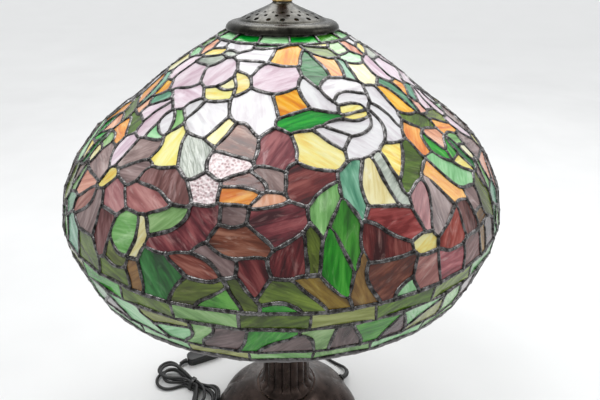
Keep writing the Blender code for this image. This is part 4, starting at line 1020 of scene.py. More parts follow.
def trace(label):
    """The lines between labels, as chains of grid corners from junction to junction.

    Each chain is (label on its left, label on its right, corners), its corners unwrapped around the shade.
    """
    rows, columns = label.shape

    def cell(i, j):
        if i < 0:
            return BELOW
        return ABOVE if i >= rows else label[i, j % columns]

    def sides(i, j, way):
        return {
            0: (cell(i, j), cell(i - 1, j)),
            1: (cell(i, j - 1), cell(i, j)),
            2: (cell(i - 1, j - 1), cell(i, j - 1)),
            3: (cell(i - 1, j), cell(i - 1, j - 1)),
        }[way]

    def ways(i, j):
        found = []
        for way, (up, _) in enumerate(STEPS):
            if 0 <= i + up <= rows:
                left, right = sides(i, j, way)
                if left != right:
                    found.append(way)
        return found

    done = set()
    chains = []

    def follow(i, j, way):
        corners = [(i, j)]
        left, right = sides(i, j, way)
        while True:
            done.add((i, j % columns, way))
            i, j = i + STEPS[way][0], j + STEPS[way][1]
            done.add((i, j % columns, (way + 2) % 4))
            corners.append((i, j))
            options = ways(i, j)
            if len(options) != 2 or (i, j % columns) == (corners[0][0], corners[0][1] % columns):
                break
            way = next(w for w in options if w != (way + 2) % 4)
        chains.append((left, right, corners))

    junctions = [(i, j) for i in range(rows + 1) for j in range(columns) if len(ways(i, j)) > 2]
    for i, j in junctions:
        for way in ways(i, j):
            if (i, j, way) not in done:
                follow(i, j, way)
    return chains


def spaced(line, step):
    """The line with its points about step millimetres apart on the shade."""
    around = np.interp(np.interp(line[:, 1], CONFORMAL, ALONG), ALONG, RADIUS)
    gone = run_of(steps_of(line) * (around[1:] + around[:-1]) / 2)
    return resampled(line, gone, max(2, round(gone[-1] / step) + 1))


def loops_of(chains, columns):
    """For each label, the closed loop around it with its inside on the left.

    A loop is a list of (chain, whether it runs forward, how many columns it has shifted around the shade).
    """
    by_label = {}
    for index, (left, right, corners) in enumerate(chains):
        for number, forward in ((left, True), (right, False)):
            if number >= 0:
                ends = (corners[0], corners[-1]) if forward else (corners[-1], corners[0])
                by_label.setdefault(number, []).append((index, forward, *ends))
    loops = {}
    for number, parts in by_label.items():
        best = []
        left = list(parts)
        while left:
            first = left.pop(0)
            loop, shift = [(first[0], first[1], 0)], 0
            start, at = first[2], first[3]
            while (at[0], at[1] % columns) != (start[0], start[1] % columns):
                here = (at[0], at[1] % columns)
                chosen = next((p for p in left if (p[2][0], p[2][1] % columns) == here), None)
                if chosen is None:
                    break
                left.remove(chosen)
                shift += at[1] - chosen[2][1]
                loop.append((chosen[0], chosen[1], shift))
                at = chosen[3]
            length = sum(len(chains[i][2]) for i, _, _ in loop)
            if length > sum(len(chains[i][2]) for i, _, _ in best):
                best = loop
        loops[number] = best
    return loops


class Lead:
    """The shade's glass pieces and solder lines, in millimetres, before they become meshes."""

    def __init__(self):
        self.glass = {}  # kind -> list of (outline, plane's normal, number)
        self.lines = []  # (points, outward normals, width)
        self.blobs = []  # (point, outward normal, size)
        self.count = 0

    def add_piece(self, kind, outline, normal):
        self.count += 1
        self.glass.setdefault(kind, []).append((outline, normal, self.count))


def plane_of(points, normals):
    """The centre and outward unit normal of the flat piece that fits a loop of points."""
    centre = points.mean(0)
    rolled = np.roll(points, -1, axis=0)
    normal = np.cross(points - centre, rolled - centre).sum(0)
    normal = normal / np.linalg.norm(normal)
    return centre, normal if normal @ normals.mean(0) > 0 else -normal


def onto(points, normals, plane):
    """Points slid along their own normals onto a plane."""
    centre, normal = plane
    reach = ((centre - points) @ normal) / np.maximum(normals @ normal, 0.5)
    return points + normals * np.clip(reach, -4.0, 4.0)[:, None]


def turned_about(points, angle):
    """Points turned about Z, counted from the front towards +X."""
    c, s = math.cos(angle), math.sin(angle)
    return points @ np.array([[c, s, 0.0], [-s, c, 0.0], [0.0, 0.0, 1.0]])


def lay_band(lead, pieces, span, width):
    """Cuts a band of the shade into its pieces, and lays solder along every line between them."""
    label, low, high = label_grid(pieces, span)
    rows, columns = label.shape
    turn = math.radians(SECTOR)
    chains = trace(label)
    loops = loops_of(chains, columns)
    lines = []
    for _, _, corners in chains:
        line = np.array([(j * turn / columns - turn / 2, low + i * (high - low) / rows) for i, j in corners])
        lines.append(spaced(smoothed(line, 24), 3.0))
    planes, outlines = {}, {}
    for number, loop in loops.items():
        points = []
        for index, forward, shift in loop:
            line = lines[index] if forward else lines[index][::-1]
            points.append(line[:-1] + (shift * turn / columns, 0.0))
        flat = np.concatenate(points)
        if len(flat) < 3:
            continue
        place, normal = on_shade(flat[:, 0], flat[:, 1])
        planes[number] = plane_of(place, normal)
        outlines[number] = onto(place, normal, planes[number])
    # how far around each label's loop has shifted each of its chains, in radians
    shifted = {
        (index, number): shift * turn / columns for number, loop in loops.items() for index, _, shift in loop
    }
    meeting = {}  # a junction -> how far each line that ends there lies off the shade's round face
    solder = []
    for index, (left, right, corners) in enumerate(chains):
        place, normal = on_shade(lines[index][:, 0], lines[index][:, 1])
        levels = []
        for number in (left, right):
            if number in planes:
                centre, facing = planes[number]
                back = -shifted.get((index, number), 0.0)
                levels.append(onto(place, normal, (turned_about(centre, back), turned_about(facing, back))))
        middle = np.mean(levels, axis=0) if levels else place
        solder.append([middle, normal, place])
        for end, corner in ((0, corners[0]), (-1, corners[-1])):
            key = (corner[0], corner[1] % columns)
            offset = (middle[end] - place[end]) @ normal[end]
            meeting.setdefault(key, []).append(offset)
    for repeat in range(round(360 / SECTOR)):
        angle = turn * repeat
        for index, (left, right, corners) in enumerate(chains):
            middle, normal, place = solder[index]
            fixed = middle.copy()
            for end, corner in ((0, corners[0]), (-1, corners[-1])):
                wanted = np.mean(meeting[(corner[0], corner[1] % columns)])
                missing = wanted - (middle[end] - place[end]) @ normal[end]
                weights = np.linspace(1.0, 0.0, min(4, len(fixed)), endpoint=False)
                for k, weight in enumerate(weights):
                    at = k if end == 0 else -1 - k
                    fixed[at] = fixed[at] + normal[at] * missing * weight
            edge = left < 0 or right < 0
            fixed, facing = turned_about(fixed, angle), turned_about(normal, angle)
            lead.lines.append((fixed, facing, width * (1.12 if edge else 1.0)))
            lead.blobs += [(fixed[end], facing[end], width) for end in (0, -1)]
        for number, outline in sorted(outlines.items()):
            facing = turned_about(planes[number][1], angle)
            lead.add_piece(pieces[number][0], turned_about(outline, angle), facing)


def lay_tiles(lead, span, joint, kinds, width, edges=(), tiles=TILES):
    """One row of plain tiles, and the solder of its joints and of the named edges ("low", "high")."""
    low, high = up_face(span[0]), up_face(span[1])
    turn = math.tau / tiles
    first = math.radians(joint)
    corners, edge_steps = 7, 16  # points along a tile's edge, and steps of the solder along it
    levels = []
    for tile in range(tiles):
        wobble = 0.010 * math.sin(tile * 2.7)
        left, right = first + tile * turn, first + (tile + 1) * turn
        across = np.linspace(left, right, corners)
        ring = np.concatenate([
            np.stack([across, np.full(corners, low)], -1),
            np.stack([across[::-1], np.full(corners, high)], -1),
        ])
        place, normal = on_shade(ring[:, 0], ring[:, 1])
        plane = plane_of(place, normal)
        levels.append(plane)
        lead.add_piece(kinds[tile % len(kinds)], onto(place, normal, plane), plane[1])
        count = max(3, round((span[1] - span[0]) / 2.5))
        up = np.linspace(low, high, count)
        lean = wobble * (up - low) / (high - low)
        place, normal = on_shade(left + lean, up)
        lead.lines.append((place, normal, width))
    for edge in edges:
        height = low if edge == "low" else high
        around = np.linspace(first, first + math.tau, tiles * edge_steps + 1)
        place, normal = on_shade(around, np.full(len(around), height))
        moved = []
        for k, (point, out) in enumerate(zip(place, normal)):
            plane = levels[min(k // edge_steps, tiles - 1)]
            moved.append(onto(point[None], out[None], plane)[0])
        lead.lines.append((np.array(moved), normal, width * 1.1))


def glass_mesh(name, pieces, material):
    """All the pieces of one kind of glass as one mesh of flat slabs, with the flow of their grain."""
    bm = bmesh.new()
    flow = []
    for outline, normal, number in pieces:
        dice = np.random.default_rng(number)
        outline = inset(outline, normal, 0.35)
        centre = outline.mean(0)
        spread = outline - centre
        # the grain runs along the piece, give or take, and now and then across it
        _, vectors = np.linalg.eigh(spread.T @ spread)
        grain = vectors[:, -1] - (vectors[:, -1] @ normal) * normal
        grain = grain / np.linalg.norm(grain)
        side = np.cross(normal, grain)
        swing = math.radians(dice.uniform(-28, 28)) + (math.pi / 2 if dice.random() < 0.2 else 0.0)
        c, s = math.cos(swing), math.sin(swing)
        grain, side = grain * c + side * s, side * c - grain * s
        front = [bm.verts.new(p * MM) for p in outline]
        back = [bm.verts.new((p - normal * GLASS) * MM) for p in outline]
        for p in [*outline, *outline]:
            d = p - centre
            flow.append((float(d @ grain), float(d @ side), float(number)))
        count = len(front)
        try:
            bm.faces.new(front)
            bm.faces.new(back[::-1])
        except ValueError:
            continue
        for k in range(count):
            following = (k + 1) % count
            bm.faces.new((front[k], back[k], back[following], front[following]))
    bm.normal_update()
    flat = [f for f in bm.faces if len(f.verts) > 4]
    bmesh.ops.triangulate(bm, faces=flat)
    mesh = bpy.data.meshes.new(name)
    bm.to_mesh(mesh)
    bm.free()
    attribute = mesh.attributes.new("flow", "FLOAT_VECTOR", "POINT")
    attribute.data.foreach_set("vector", np.array(flow, np.float32).ravel())
    mesh.materials.append(material)
    return add_object(name, mesh)


def inset(outline, normal, amount):
    """The loop moved inwards in its plane, and run so that its face points out."""
    rolled = np.roll(outline, -1, axis=0)
    centre = outline.mean(0)
    if np.cross(outline - centre, rolled - centre).sum(0) @ normal < 0:
        outline = outline[::-1]
    before, after = np.roll(outline, 1, axis=0), np.roll(outline, -1, axis=0)
    way = after - before
    inwards = np.cross(normal, way)
    size = np.linalg.norm(inwards, axis=1)
    size[size < 1e-9] = 1.0
    return outline + inwards / size[:, None] * amount


BEAD_SEED, BLOB_SEED = 7000, 90000


def solder_mesh(name, lines, blobs, material):
    """Beads of solder along lines: an oval section from behind the glass to a crest just proud of it."""
    sides = 8
    verts, faces = [], []
    for number, (points, normals, width) in enumerate(lines):
        if len(points) < 2:
            continue
        ways = np.gradient(points, axis=0)
        ways = ways / np.maximum(np.linalg.norm(ways, axis=1), 1e-9)[:, None]
        across = np.cross(normals, ways)
        across = across / np.maximum(np.linalg.norm(across, axis=1), 1e-9)[:, None]
        dice = np.random.default_rng(BEAD_SEED + number + len(blobs))
        rough = smoothed(dice.uniform(-1, 1, (len(points), 2)), 1)
        half = width / 2 * (1 + 0.26 * rough[:, 0])
        proud = 1.05 * (1 + 0.38 * rough[:, 1])
        base = len(verts)
        for k, (p, n, a) in enumerate(zip(points, normals, across)):
            for side in range(sides):
                turn = math.tau * (side + 0.5) / sides
                out = math.cos(turn)
                reach, swell = (proud[k], 1.0) if out > 0 else (GLASS + 0.9, 0.85)
                verts.append(tuple((p + n * (out * reach) + a * math.sin(turn) * half[k] * swell) * MM))
        for k in range(len(points) - 1):
            for side in range(sides):
                following = (side + 1) % sides
                a, b = base + k * sides + side, base + k * sides + following
                faces.append((a, b, b + sides, a + sides))
        faces.append(tuple(base + side for side in range(sides))[::-1])
        last = base + (len(points) - 1) * sides
        faces.append(tuple(last + side for side in range(sides)))
    # a blob's section: millimetres out from the face, and share of its radius
    rings = ((0.95, 0.42), (0.55, 0.86), (-0.1, 1.0), (-2.4, 0.92), (-3.9, 0.5))
    around = 8
    for number, (p, n, width) in enumerate(blobs):
        dice = np.random.default_rng(BLOB_SEED + number)
        size = width / 2 * dice.uniform(1.05, 1.45)
        lift = dice.uniform(0.95, 1.35)
        side = np.cross(n, (0.0, 0.0, 1.0))
        side = side / max(np.linalg.norm(side), 1e-9)
        up = np.cross(n, side)
        base = len(verts)
        for level, share in rings:
            for k in range(around):
                turn = math.tau * k / around
                out = side * math.cos(turn) + up * math.sin(turn)
                verts.append(tuple((p + n * level * (lift if level > 0 else 1.0) + out * size * share) * MM))
        verts.append(tuple((p + n * 1.1 * lift) * MM))
        for ring in range(len(rings) - 1):
            for k in range(around):
                following = (k + 1) % around
                a, b = base + ring * around + k, base + ring * around + following
                faces.append((a, a + around, b + around, b))
        top = base + len(rings) * around
        for k in range(around):
            faces.append((top, base + k, base + (k + 1) % around))
        last = base + (len(rings) - 1) * around
        faces.append(tuple(last + k for k in range(around))[::-1])
    mesh = bpy.data.meshes.new(name)
    mesh.from_pydata(verts, [], faces)
    mesh.update()
    bm = bmesh.new()
    bm.from_mesh(mesh)
    bmesh.ops.recalc_face_normals(bm, faces=bm.faces)
    bm.to_mesh(mesh)
    bm.free()
    mesh.shade_smooth()
    mesh.materials.append(material)
    return add_object(name, mesh)


# Kinds of glass: dark, body, light and wisp colours, how strong the wisps are, how much pieces differ.
KINDS = {
    "wine": ((.22, .05, .05), (.40, .14, .12), (.58, .32, .28), (.78, .62, .58), .40, .10),
    "brick": ((.28, .09, .08), (.47, .22, .20), (.66, .42, .38), (.84, .71, .67), .42, .10),
    "red": ((.46, .12, .13), (.65, .27, .27), (.79, .47, .46), (.89, .74, .72), .42, .07),
    "rose": ((.52, .29, .28), (.67, .43, .41), (.79, .58, .55), (.90, .78, .75), .42, .08),
    "salmon": ((.76, .48, .38), (.90, .64, .52), (.96, .76, .66), (.99, .90, .84), .4, .05),
    "mauve": ((.40, .31, .30), (.54, .45, .43), (.68, .59, .57), (.85, .79, .77), .40, .08),
    "plum": ((.26, .11, .12), (.42, .24, .24), (.58, .41, .41), (.78, .67, .67), .38, .09),
    "lilac": ((.79, .67, .73), (.88, .80, .84), (.94, .89, .92), (.97, .95, .96), .5, .05),
    "milk": ((.82, .79, .81), (.89, .88, .89), (.93, .93, .93), (.95, .95, .95), .5, .03),
    "amber": ((.84, .44, .08), (.94, .63, .20), (.97, .77, .38), (.97, .89, .66), .35, .05),
    "lemon": ((.92, .76, .28), (.95, .90, .52), (.96, .94, .68), (.96, .96, .88), .4, .04),
    "cream": ((.84, .78, .50), (.91, .88, .66), (.93, .92, .80), (.95, .95, .90), .5, .04),
    "forest": ((.04, .25, .09), (.09, .42, .15), (.22, .56, .27), (.55, .78, .56), .25, .08),
    "leaf": ((.08, .38, .06), (.16, .57, .12), (.33, .70, .24), (.68, .86, .58), .28, .10),
    "olive": ((.21, .25, .05), (.32, .41, .09), (.47, .56, .18), (.70, .77, .42), .32, .11),
    "sage": ((.37, .55, .29), (.50, .69, .41), (.65, .80, .55), (.82, .92, .75), .4, .07),
    "mint": ((.44, .70, .44), (.58, .82, .58), (.72, .89, .70), (.88, .95, .87), .45, .06),
    "khaki": ((.46, .49, .22), (.58, .62, .32), (.69, .73, .45), (.84, .86, .68), .4, .07),
    "teal": ((.24, .48, .36), (.38, .61, .48), (.54, .74, .62), (.80, .90, .84), .4, .08),
    "crystal": ((.60, .44, .46), (.80, .68, .69), (.96, .92, .92), (.99, .98, .98), .5, .05),
    "smoke": ((.54, .57, .53), (.70, .73, .68), (.83, .85, .80), (.95, .96, .94), .5, .05),
    "brown": ((.32, .20, .05), (.48, .34, .12), (.62, .48, .22), (.80, .71, .46), .3, .10),
    "dusk": ((.25, .19, .19), (.37, .29, .29), (.49, .41, .41), (.70, .64, .63), .3, .09),
}
GRAINS = {"crystal": "granular", "smoke": "rippled"}  # all others are streaky
# The tiles of the plain rows, in turn around the shade from their first joint.
BAND_KINDS = ("olive", "khaki", "olive", "olive", "leaf", "olive", "sage")
RIM_KINDS = ("sage", "sage", "mint", "sage", "mint", "mint", "khaki")
TOP_KINDS = ("mint", "leaf", "leaf")


def solder_material():
    """Dark patinated solder: lumpy and darkest between its lumps, with pale patches at random
    that are partly wear on the patina and partly painted silver glints.
    """
    n = Nodes("solder")
    place = n.place()
    lumps = n.noise(place, 260.0, 3.0, 0.6)
    fine = n.noise(place, 900.0, 2.0, 0.5)
    wear_and_glints = n.steps(n.noise(place, 120.0, 3.0, 0.6), 0.50, 0.68)
    dark, middle, bright = (0.018, 0.016, 0.016), (0.070, 0.066, 0.064), (0.24, 0.23, 0.23)
    colour = n.ramp(lumps, [(0.35, dark), (0.52, middle), (0.70, bright)])
    # painted glints: pale grey mixed in at random patches, partly as worn patina and partly as painted silver
    # highlights
    colour = n.mix(n.math("MULTIPLY", wear_and_glints, 0.42), colour, (0.42, 0.41, 0.41))
    rough = n.steps(fine, 0.3, 0.7, 0.20, 0.42)
    normal = n.bump(lumps, 0.75, 0.0009)
    return n.finish(colour, rough, n.bump(fine, 0.25, 0.0003, normal), 0.85)


def build_shade_glass():
    lead = Lead()
    lay_band(lead, FLOWER_GLASS, FLOWERS, 3.3)
    lay_band(lead, WAVE_GLASS, WAVE_BELT, 3.1)
    lay_tiles(lead, UPPER_BELT, UPPER_JOINT, BAND_KINDS, 3.0)
    lay_tiles(lead, RIM_ROW, RIM_JOINT, RIM_KINDS, 3.0, ("low",))
    lay_tiles(lead, TOP_ROW, TOP_JOINT, TOP_KINDS, 2.4, ("high",), TOP_TILES)
    made = []
    for kind, pieces in sorted(lead.glass.items()):
        material = glass_material(f"glass_{kind}", *KINDS[kind], GRAINS.get(kind, "streaky"))
        made.append(glass_mesh(f"glass_{kind}", pieces, material))
    metal = solder_material()
    parts = 4
    for part in range(parts):
        lines, blobs = lead.lines[part::parts], lead.blobs[part::parts]
        made.append(solder_mesh(f"solder_{part + 1}", lines, blobs, metal))
    rows = [
        "shade_rim_row", "shade_wave_belt", "shade_upper_belt", "shade_lower_flowers",
        "shade_middle_flowers", "shade_upper_flowers", "shade_top_row",
    ]
    for obj in made:
        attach(obj, "shade")
    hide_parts(*rows)


build_shade_glass()


# ---------------------------------------------------------------- CAD nodes that keep their shape
def metal_material(name, dark, light, roughness, scale=60.0, bump=0.2):
    n = Nodes(name)
    place = n.place()
    patches = n.noise(place, scale, 4.0, 0.6)
    colour = n.ramp(patches, [(0.35, dark), (0.65, light)])
    rough = n.steps(n.noise(place, scale * 3, 3.0), 0.3, 0.7, roughness - 0.07, roughness + 0.09)
    return n.finish(colour, rough, n.bump(patches, bump, 0.0004), 1.0)


def plastic_material(name, colour, roughness, grain=900.0):
    n = Nodes(name)
    place = n.place()
    speck = n.noise(place, grain, 2.0)
    dust = n.noise(place, 40.0, 3.0)
    lighter = tuple(c * 1.7 + 0.004 for c in colour)
    shade = n.ramp(dust, [(0.3, colour), (0.75, lighter)])
    rough = n.steps(dust, 0.3, 0.7, roughness - 0.05, roughness + 0.08)
    return n.finish(shade, rough, n.bump(speck, 0.12, 0.0002))


def dress(material, *names):
    """Gives objects one material in all their slots."""
    for name in names:
        obj = bpy.data.objects[name]
        if not obj.material_slots:
            obj.data.materials.append(material)
        for place in obj.material_slots:
            place.material = material


BRONZE = metal_material("bronze", (0.032, 0.023, 0.020), (0.082, 0.058, 0.050), 0.32, 45.0, 0.3)
CAP_METAL = metal_material("cap_metal", (0.016, 0.015, 0.012), (0.055, 0.052, 0.043), 0.28, 70.0, 0.25)
BRASS = metal_material("brass", (0.42, 0.28, 0.10), (0.62, 0.44, 0.18), 0.28, 90.0, 0.1)
COPPER = metal_material("copper", (0.22, 0.075, 0.035), (0.44, 0.20, 0.10), 0.24, 60.0, 0.1)
STEEL = metal_material("steel", (0.34, 0.34, 0.34), (0.55, 0.55, 0.55), 0.3, 120.0, 0.1)
IRON = metal_material("iron", (0.03, 0.03, 0.03), (0.08, 0.08, 0.08), 0.6, 200.0, 0.6)
PLASTIC = plastic_material("black_plastic", (0.010, 0.010, 0.010), 0.38)
RUBBER = plastic_material("cord", (0.010, 0.010, 0.010), 0.46, 1400.0)


def felt_material():
    n = Nodes("felt")
    place = n.place()
    fibre = n.noise(place, 900.0, 5.0, 0.7, 1.5)
    colour = n.ramp(fibre, [(0.3, (0.012, 0.02, 0.012)), (0.7, (0.045, 0.07, 0.045))])
    return n.finish(colour, 0.95, n.bump(fibre, 0.6, 0.0006))


dress(felt_material(), "felt_pad")
dress(STEEL, "bottom_plate", "bottom_washer", "bottom_nut", "threaded_rod")
dress(IRON, "base_weight")
dress(BRASS, "neck_tube", "riser_tube", "seat_nut", "seat_washer", "shade_top_ring", "shade_spider")
for side in ("left", "right"):
    dress(STEEL, f"switch_screw_{side}")
    dress(BRASS, f"socket_nipple_{side}", f"socket_contact_{side}", f"switch_contact_{side}")
dress(RUBBER, "inner_lead", "lead_to_switch", "lead_to_plug")


# ---------------------------------------------------------------- floor and light
def build_stage():
    """A plain pale floor that gets lighter with distance, as paper in a light tent does."""
    radius, sides = 16.0, 96
    near, far, brightest = 0.5, 3.5, 0.26  # where the glow starts and ends, and its strength there
    n = Nodes("floor")
    place = n.place()
    cloud = n.noise(place, 3.0, 3.0)
    colour = n.ramp(cloud, [(0.3, (0.74, 0.74, 0.74)), (0.7, (0.80, 0.80, 0.80))])
    across, along, _ = n.split(place)
    squares = n.math("ADD", n.math("MULTIPLY", across, across), n.math("MULTIPLY", along, along))
    glowing = n.steps(n.math("SQRT", squares), near, far, 0.0, brightest)
    glow = {"Emission Color": (1.0, 1.0, 1.0, 1.0), "Emission Strength": glowing}
    n.finish(colour, 0.6, n.bump(n.noise(place, 400.0), 0.05, 0.0003), **glow)
    bm = bmesh.new()
    centre = bm.verts.new((0.0, 0.0, 0.0))
    turns = [math.tau * k / sides for k in range(sides)]
    ring = [bm.verts.new((radius * math.cos(a), radius * math.sin(a), 0.0)) for a in turns]
    bridge(bm, [[centre], ring])
    mesh = bpy.data.meshes.new("floor")
    bm.to_mesh(mesh)
    bm.free()
    mesh.materials.append(n.owner)
    add_object("floor", mesh)


def axes_at(place, way, front="Z"):
    """Axes at a place, with the front one turned along a way."""
    return Matrix.Translation(place) @ way.to_track_quat(front, "Y").to_matrix().to_4x4()


def add_light(name, place, target, size, power):
    """A rectangular softbox at a place that faces a target."""
    data = bpy.data.lights.new(name, "AREA")
    data.shape = "RECTANGLE"
    data.size, data.size_y = size
    data.energy = power
    obj = add_object(name, data)
    obj.matrix_world = axes_at(place, Vector(target) - Vector(place), "-Z")


def build_lights():
    """Softboxes overhead, behind and to the right, and a pale room that is palest above and behind."""
    n = Nodes("world", "worlds", "Background")
    _, along, up = n.split(n.place("Generated"))
    height = n.math("MULTIPLY_ADD", along, 0.5, up)
    stops = [(at, (level * 0.97, level * 0.99, level)) for at, level in ((0.0, 0.42), (1.0, 0.90))]
    bpy.context.scene.world = n.finish(**{"Color": n.ramp(height, stops), "Strength": 0.9})
    add_light("key", (-0.55, -0.10, 1.75), (-0.05, -0.12, 0.45), (0.60, 0.70), 7.0)
    add_light("rear", (0.2, 1.0, 1.9), (0.0, 0.0, 0.3), (1.8, 1.2), 26.0)
    add_light("side", (1.5, -0.1, 1.2), (0.0, 0.0, 0.4), (0.8, 0.8), 5.0)
    bpy.context.scene.view_settings.view_transform = "Standard"


build_stage()
build_lights()


# ---------------------------------------------------------------- finer pieces for the plain CAD solids
BORE = 5.3  # radius of the hole that clears the rod
FOOT_LINE = [
    (102.0, 2.9), (102.7, 6.5), (101.0, 11.5), (95.8, 19.8), (86.4, 29.4), (74.2, 39.2), (60.2, 49.6),
    (49.0, 58.0), (44.0, 62.5), (41.4, 66.0),
]
FOOT_INSIDE = [(38.5, 62.0), (57.0, 47.5), (82.0, 28.6), (96.0, 12.0)]
COLUMN_LINE = [
    (39.0, 66.4), (38.6, 68.5), (36.2, 72.0), (33.4, 78.0), (32.2, 88.0), (30.8, 130.0), (28.6, 205.0),
    (26.5, 272.0), (27.2, 284.0), (30.6, 293.0), (33.9, 301.0), (34.2, 307.0), (32.2, 312.5), (28.0, 316.0),
]
COLUMN_INSIDE = [(25.0, 316.0), (BORE, 316.0), (BORE, 311.0), (21.0, 311.0), (21.0, 276.0), (27.0, 82.0)]
REEDS, LOBES = 16, 8


def spun_piece(name, node, line, body, around=64, axes=None, warp=None, closed=True):
    bm = bmesh.new()
    spin(bm, line, around, axes, warp, closed)
    return add_piece(name, bm, body, [node])


def build_base_pieces():
    """The cast foot with its soft lobes and turned edge, and the column with its rounded reeds."""
    def lobes(radius, height, angle):
        """Lobes that grow in from the shoulder of the foot towards its edge."""
        reach = min(1.0, max(0.0, (radius - 44.0) / 40.0))
        crease = abs(math.cos(LOBES / 2 * angle)) ** 0.7
        return 1.0 + reach * (0.036 * crease - 0.018)

    def reeds(radius, height, angle):
        """Reeds on the column's outside that run out near its ends."""
        if radius < 24.0 or height < 67.0:
            return 1.0
        fade = min(1.0, (height - 67.0) / 9.0, max(0.0, 314.5 - height) / 9.0)
        return 1.0 - 0.085 * max(fade, 0.0) * (1.0 - abs(math.cos(REEDS / 2 * angle)) ** 0.75)

    rim, top = [(98.6, 2.9), (101.4, 2.9)], [(40.6, 66.2), (BORE, 66.2), (BORE, 62.4), (36.0, 62.4)]
    line = [*rim, *curve_through(FOOT_LINE, 1.6)[1:], *top, *FOOT_INSIDE]
    spun_piece("cast_foot", "foot_casting", line, "base", 240, warp=lobes)
    line = [*curve_through(COLUMN_LINE, 2.4), *COLUMN_INSIDE, (33.0, 66.4)]
    spun_piece("reeded_column", "column_casting", line, "base", 256, warp=reeds)
    collar = [
        (BORE, 316.3), (24, 316.3), (24, 319), (21, 320), (16, 323), (13.6, 327), (12.5, 330), (BORE, 330),
    ]
    spun_piece("turned_collar", "column_collar", eased(collar, 1.4), "base")
    turn = math.radians(31.0)  # where the lead leaves the foot
    way = Vector((math.cos(turn), math.sin(turn), 0.0))
    axes = axes_at(way * 0.1032 + Vector((0, 0, 0.012)), way)
    flange = [(2.3, -10.7), (4.0, -10.7), (4.0, -3.5), (5.8, -3.4), (5.8, -1.0), (4.6, 0.0), (2.3, 0.0)]
    spun_piece("foot_grommet", "cord_grommet", eased(flange, 0.5), "base", 40, axes)
    route = [(88.9, 53.4, 12.0), (93.8, 57.6, 11.3), (97.2, 64.6, 9.6), (97.5, 73.2, 6.9)]
    add_sleeve("foot_sleeve", route, 3.7, 2.9, 1.04, ["strain_relief"])


# The cap's outer line, from its edge up to its first ring of vents, and from the last ring to its top.
CAP_LOW = [
    (54.2, 540.2), (55.3, 540.6), (55.5, 541.8), (54.8, 544.0), (52.8, 546.3), (49.6, 547.9), (46.4, 548.6),
    (44.2, 548.4), (43.0, 548.5), (42.2, 549.2), (41.0, 550.3),
]
CAP_HIGH = [(22.4, 558.2), (18.0, 560.0), (13.6, 562.0), (11.0, 563.2), (9.9, 563.9), (9.5, 564.8)]
# Each ring of vents: where it starts and ends on the cap's outer line, and the radius of its holes.
VENT_ROWS = [
    ((41.0, 550.3), (33.9, 553.5), 2.5),
    ((33.9, 553.5), (27.7, 556.1), 1.9),
    ((27.7, 556.1), (22.4, 558.2), 1.35),
]
CAP_WALL, VENTS = 1.3, 18


def punched(bm, bottom, top, start, end, angle, size):
    """The ring of a round hole, joined to the patch of cap between two runs of vertices around it.

    start and end are (radius, height) of the patch's lower and upper edge, and angle is that of its middle.
    """
    across, up = end[0] - start[0], end[1] - start[1]
    out = Vector((math.cos(angle), math.sin(angle), 0.0))
    slope = Vector((-up, 0.0, -across)).normalized()
    normal = Vector((-slope.x * out.x, -slope.x * out.y, slope.z))
    rise = Vector((out.x * across, out.y * across, up)).normalized()
    side = rise.cross(normal).normalized()
    centre = sum((v.co for v in (bottom[0], bottom[-1], top[0], top[-1])), Vector()) / 4
    half = len(bottom) // 2
    centre = (centre + (bottom[half].co + top[half].co) / 2) / 2
    loop, hole = [*bottom, *top[::-1]], []
    for v in loop:
        way = v.co - centre
        way = side * way.dot(side) + rise * way.dot(rise)
        hole.append(bm.verts.new(centre + way.normalized() * size * MM))
    bridge(bm, [loop, hole])
    return hole


def build_cap():
    """The heat cap: a pressed shell with a rolled edge, a rounded shoulder and three rings of vents.

    Its outer and inner skins are made alike, then joined around their vents and at their edges.
    """
    bm = bmesh.new()
    corners = 8  # vertices of a ring between the middles of two vents
    around = VENTS * corners

    def ring(r, z):
        turns = [math.tau * k / around for k in range(around)]
        return [bm.verts.new(Vector((r * math.cos(a), r * math.sin(a), z)) * MM) for a in turns]

    def sunk(r, z, depth):
        """A point of the lower outline on the skin at some depth; the rolled edge stays thin."""
        down = 0.5 if r > 53 else 0.9
        return r - depth * 0.9, z - depth * down + (0.5 * depth if z < 541 else 0.0)

    holes = {0.0: [], CAP_WALL: []}
    edges = {0.0: [], CAP_WALL: []}
    for depth in holes:
        low = [ring(*sunk(r, z, depth)) for r, z in CAP_LOW]
        high = [ring(r - depth * 0.3, z - depth) for r, z in CAP_HIGH]
        bridge(bm, low)
        bridge(bm, high)
        edges[depth] = [low[0], high[-1]]
        below = low[-1]
        for number, (start, end, size) in enumerate(VENT_ROWS):
            last = number == len(VENT_ROWS) - 1
            above = high[0] if last else ring(end[0] - depth * 0.4, end[1] - depth)
            offset = corners // 2 * (number % 2)
            for vent in range(VENTS):
                first = vent * corners + offset
                bottom = [below[(first + k) % around] for k in range(corners + 1)]
                top = [above[(first + k) % around] for k in range(corners + 1)]
                middle = math.tau * (first + corners / 2) / around
                holes[depth].append(punched(bm, bottom, top, start, end, middle, size))
            below = above
    for outer, inner in zip(*holes.values()):
        bridge(bm, [outer, inner])
    for outer, inner in zip(*edges.values()):
        bridge(bm, [outer, inner])
    return add_piece("vented_cap", bm, "cap", ["heat_cap"], 50)


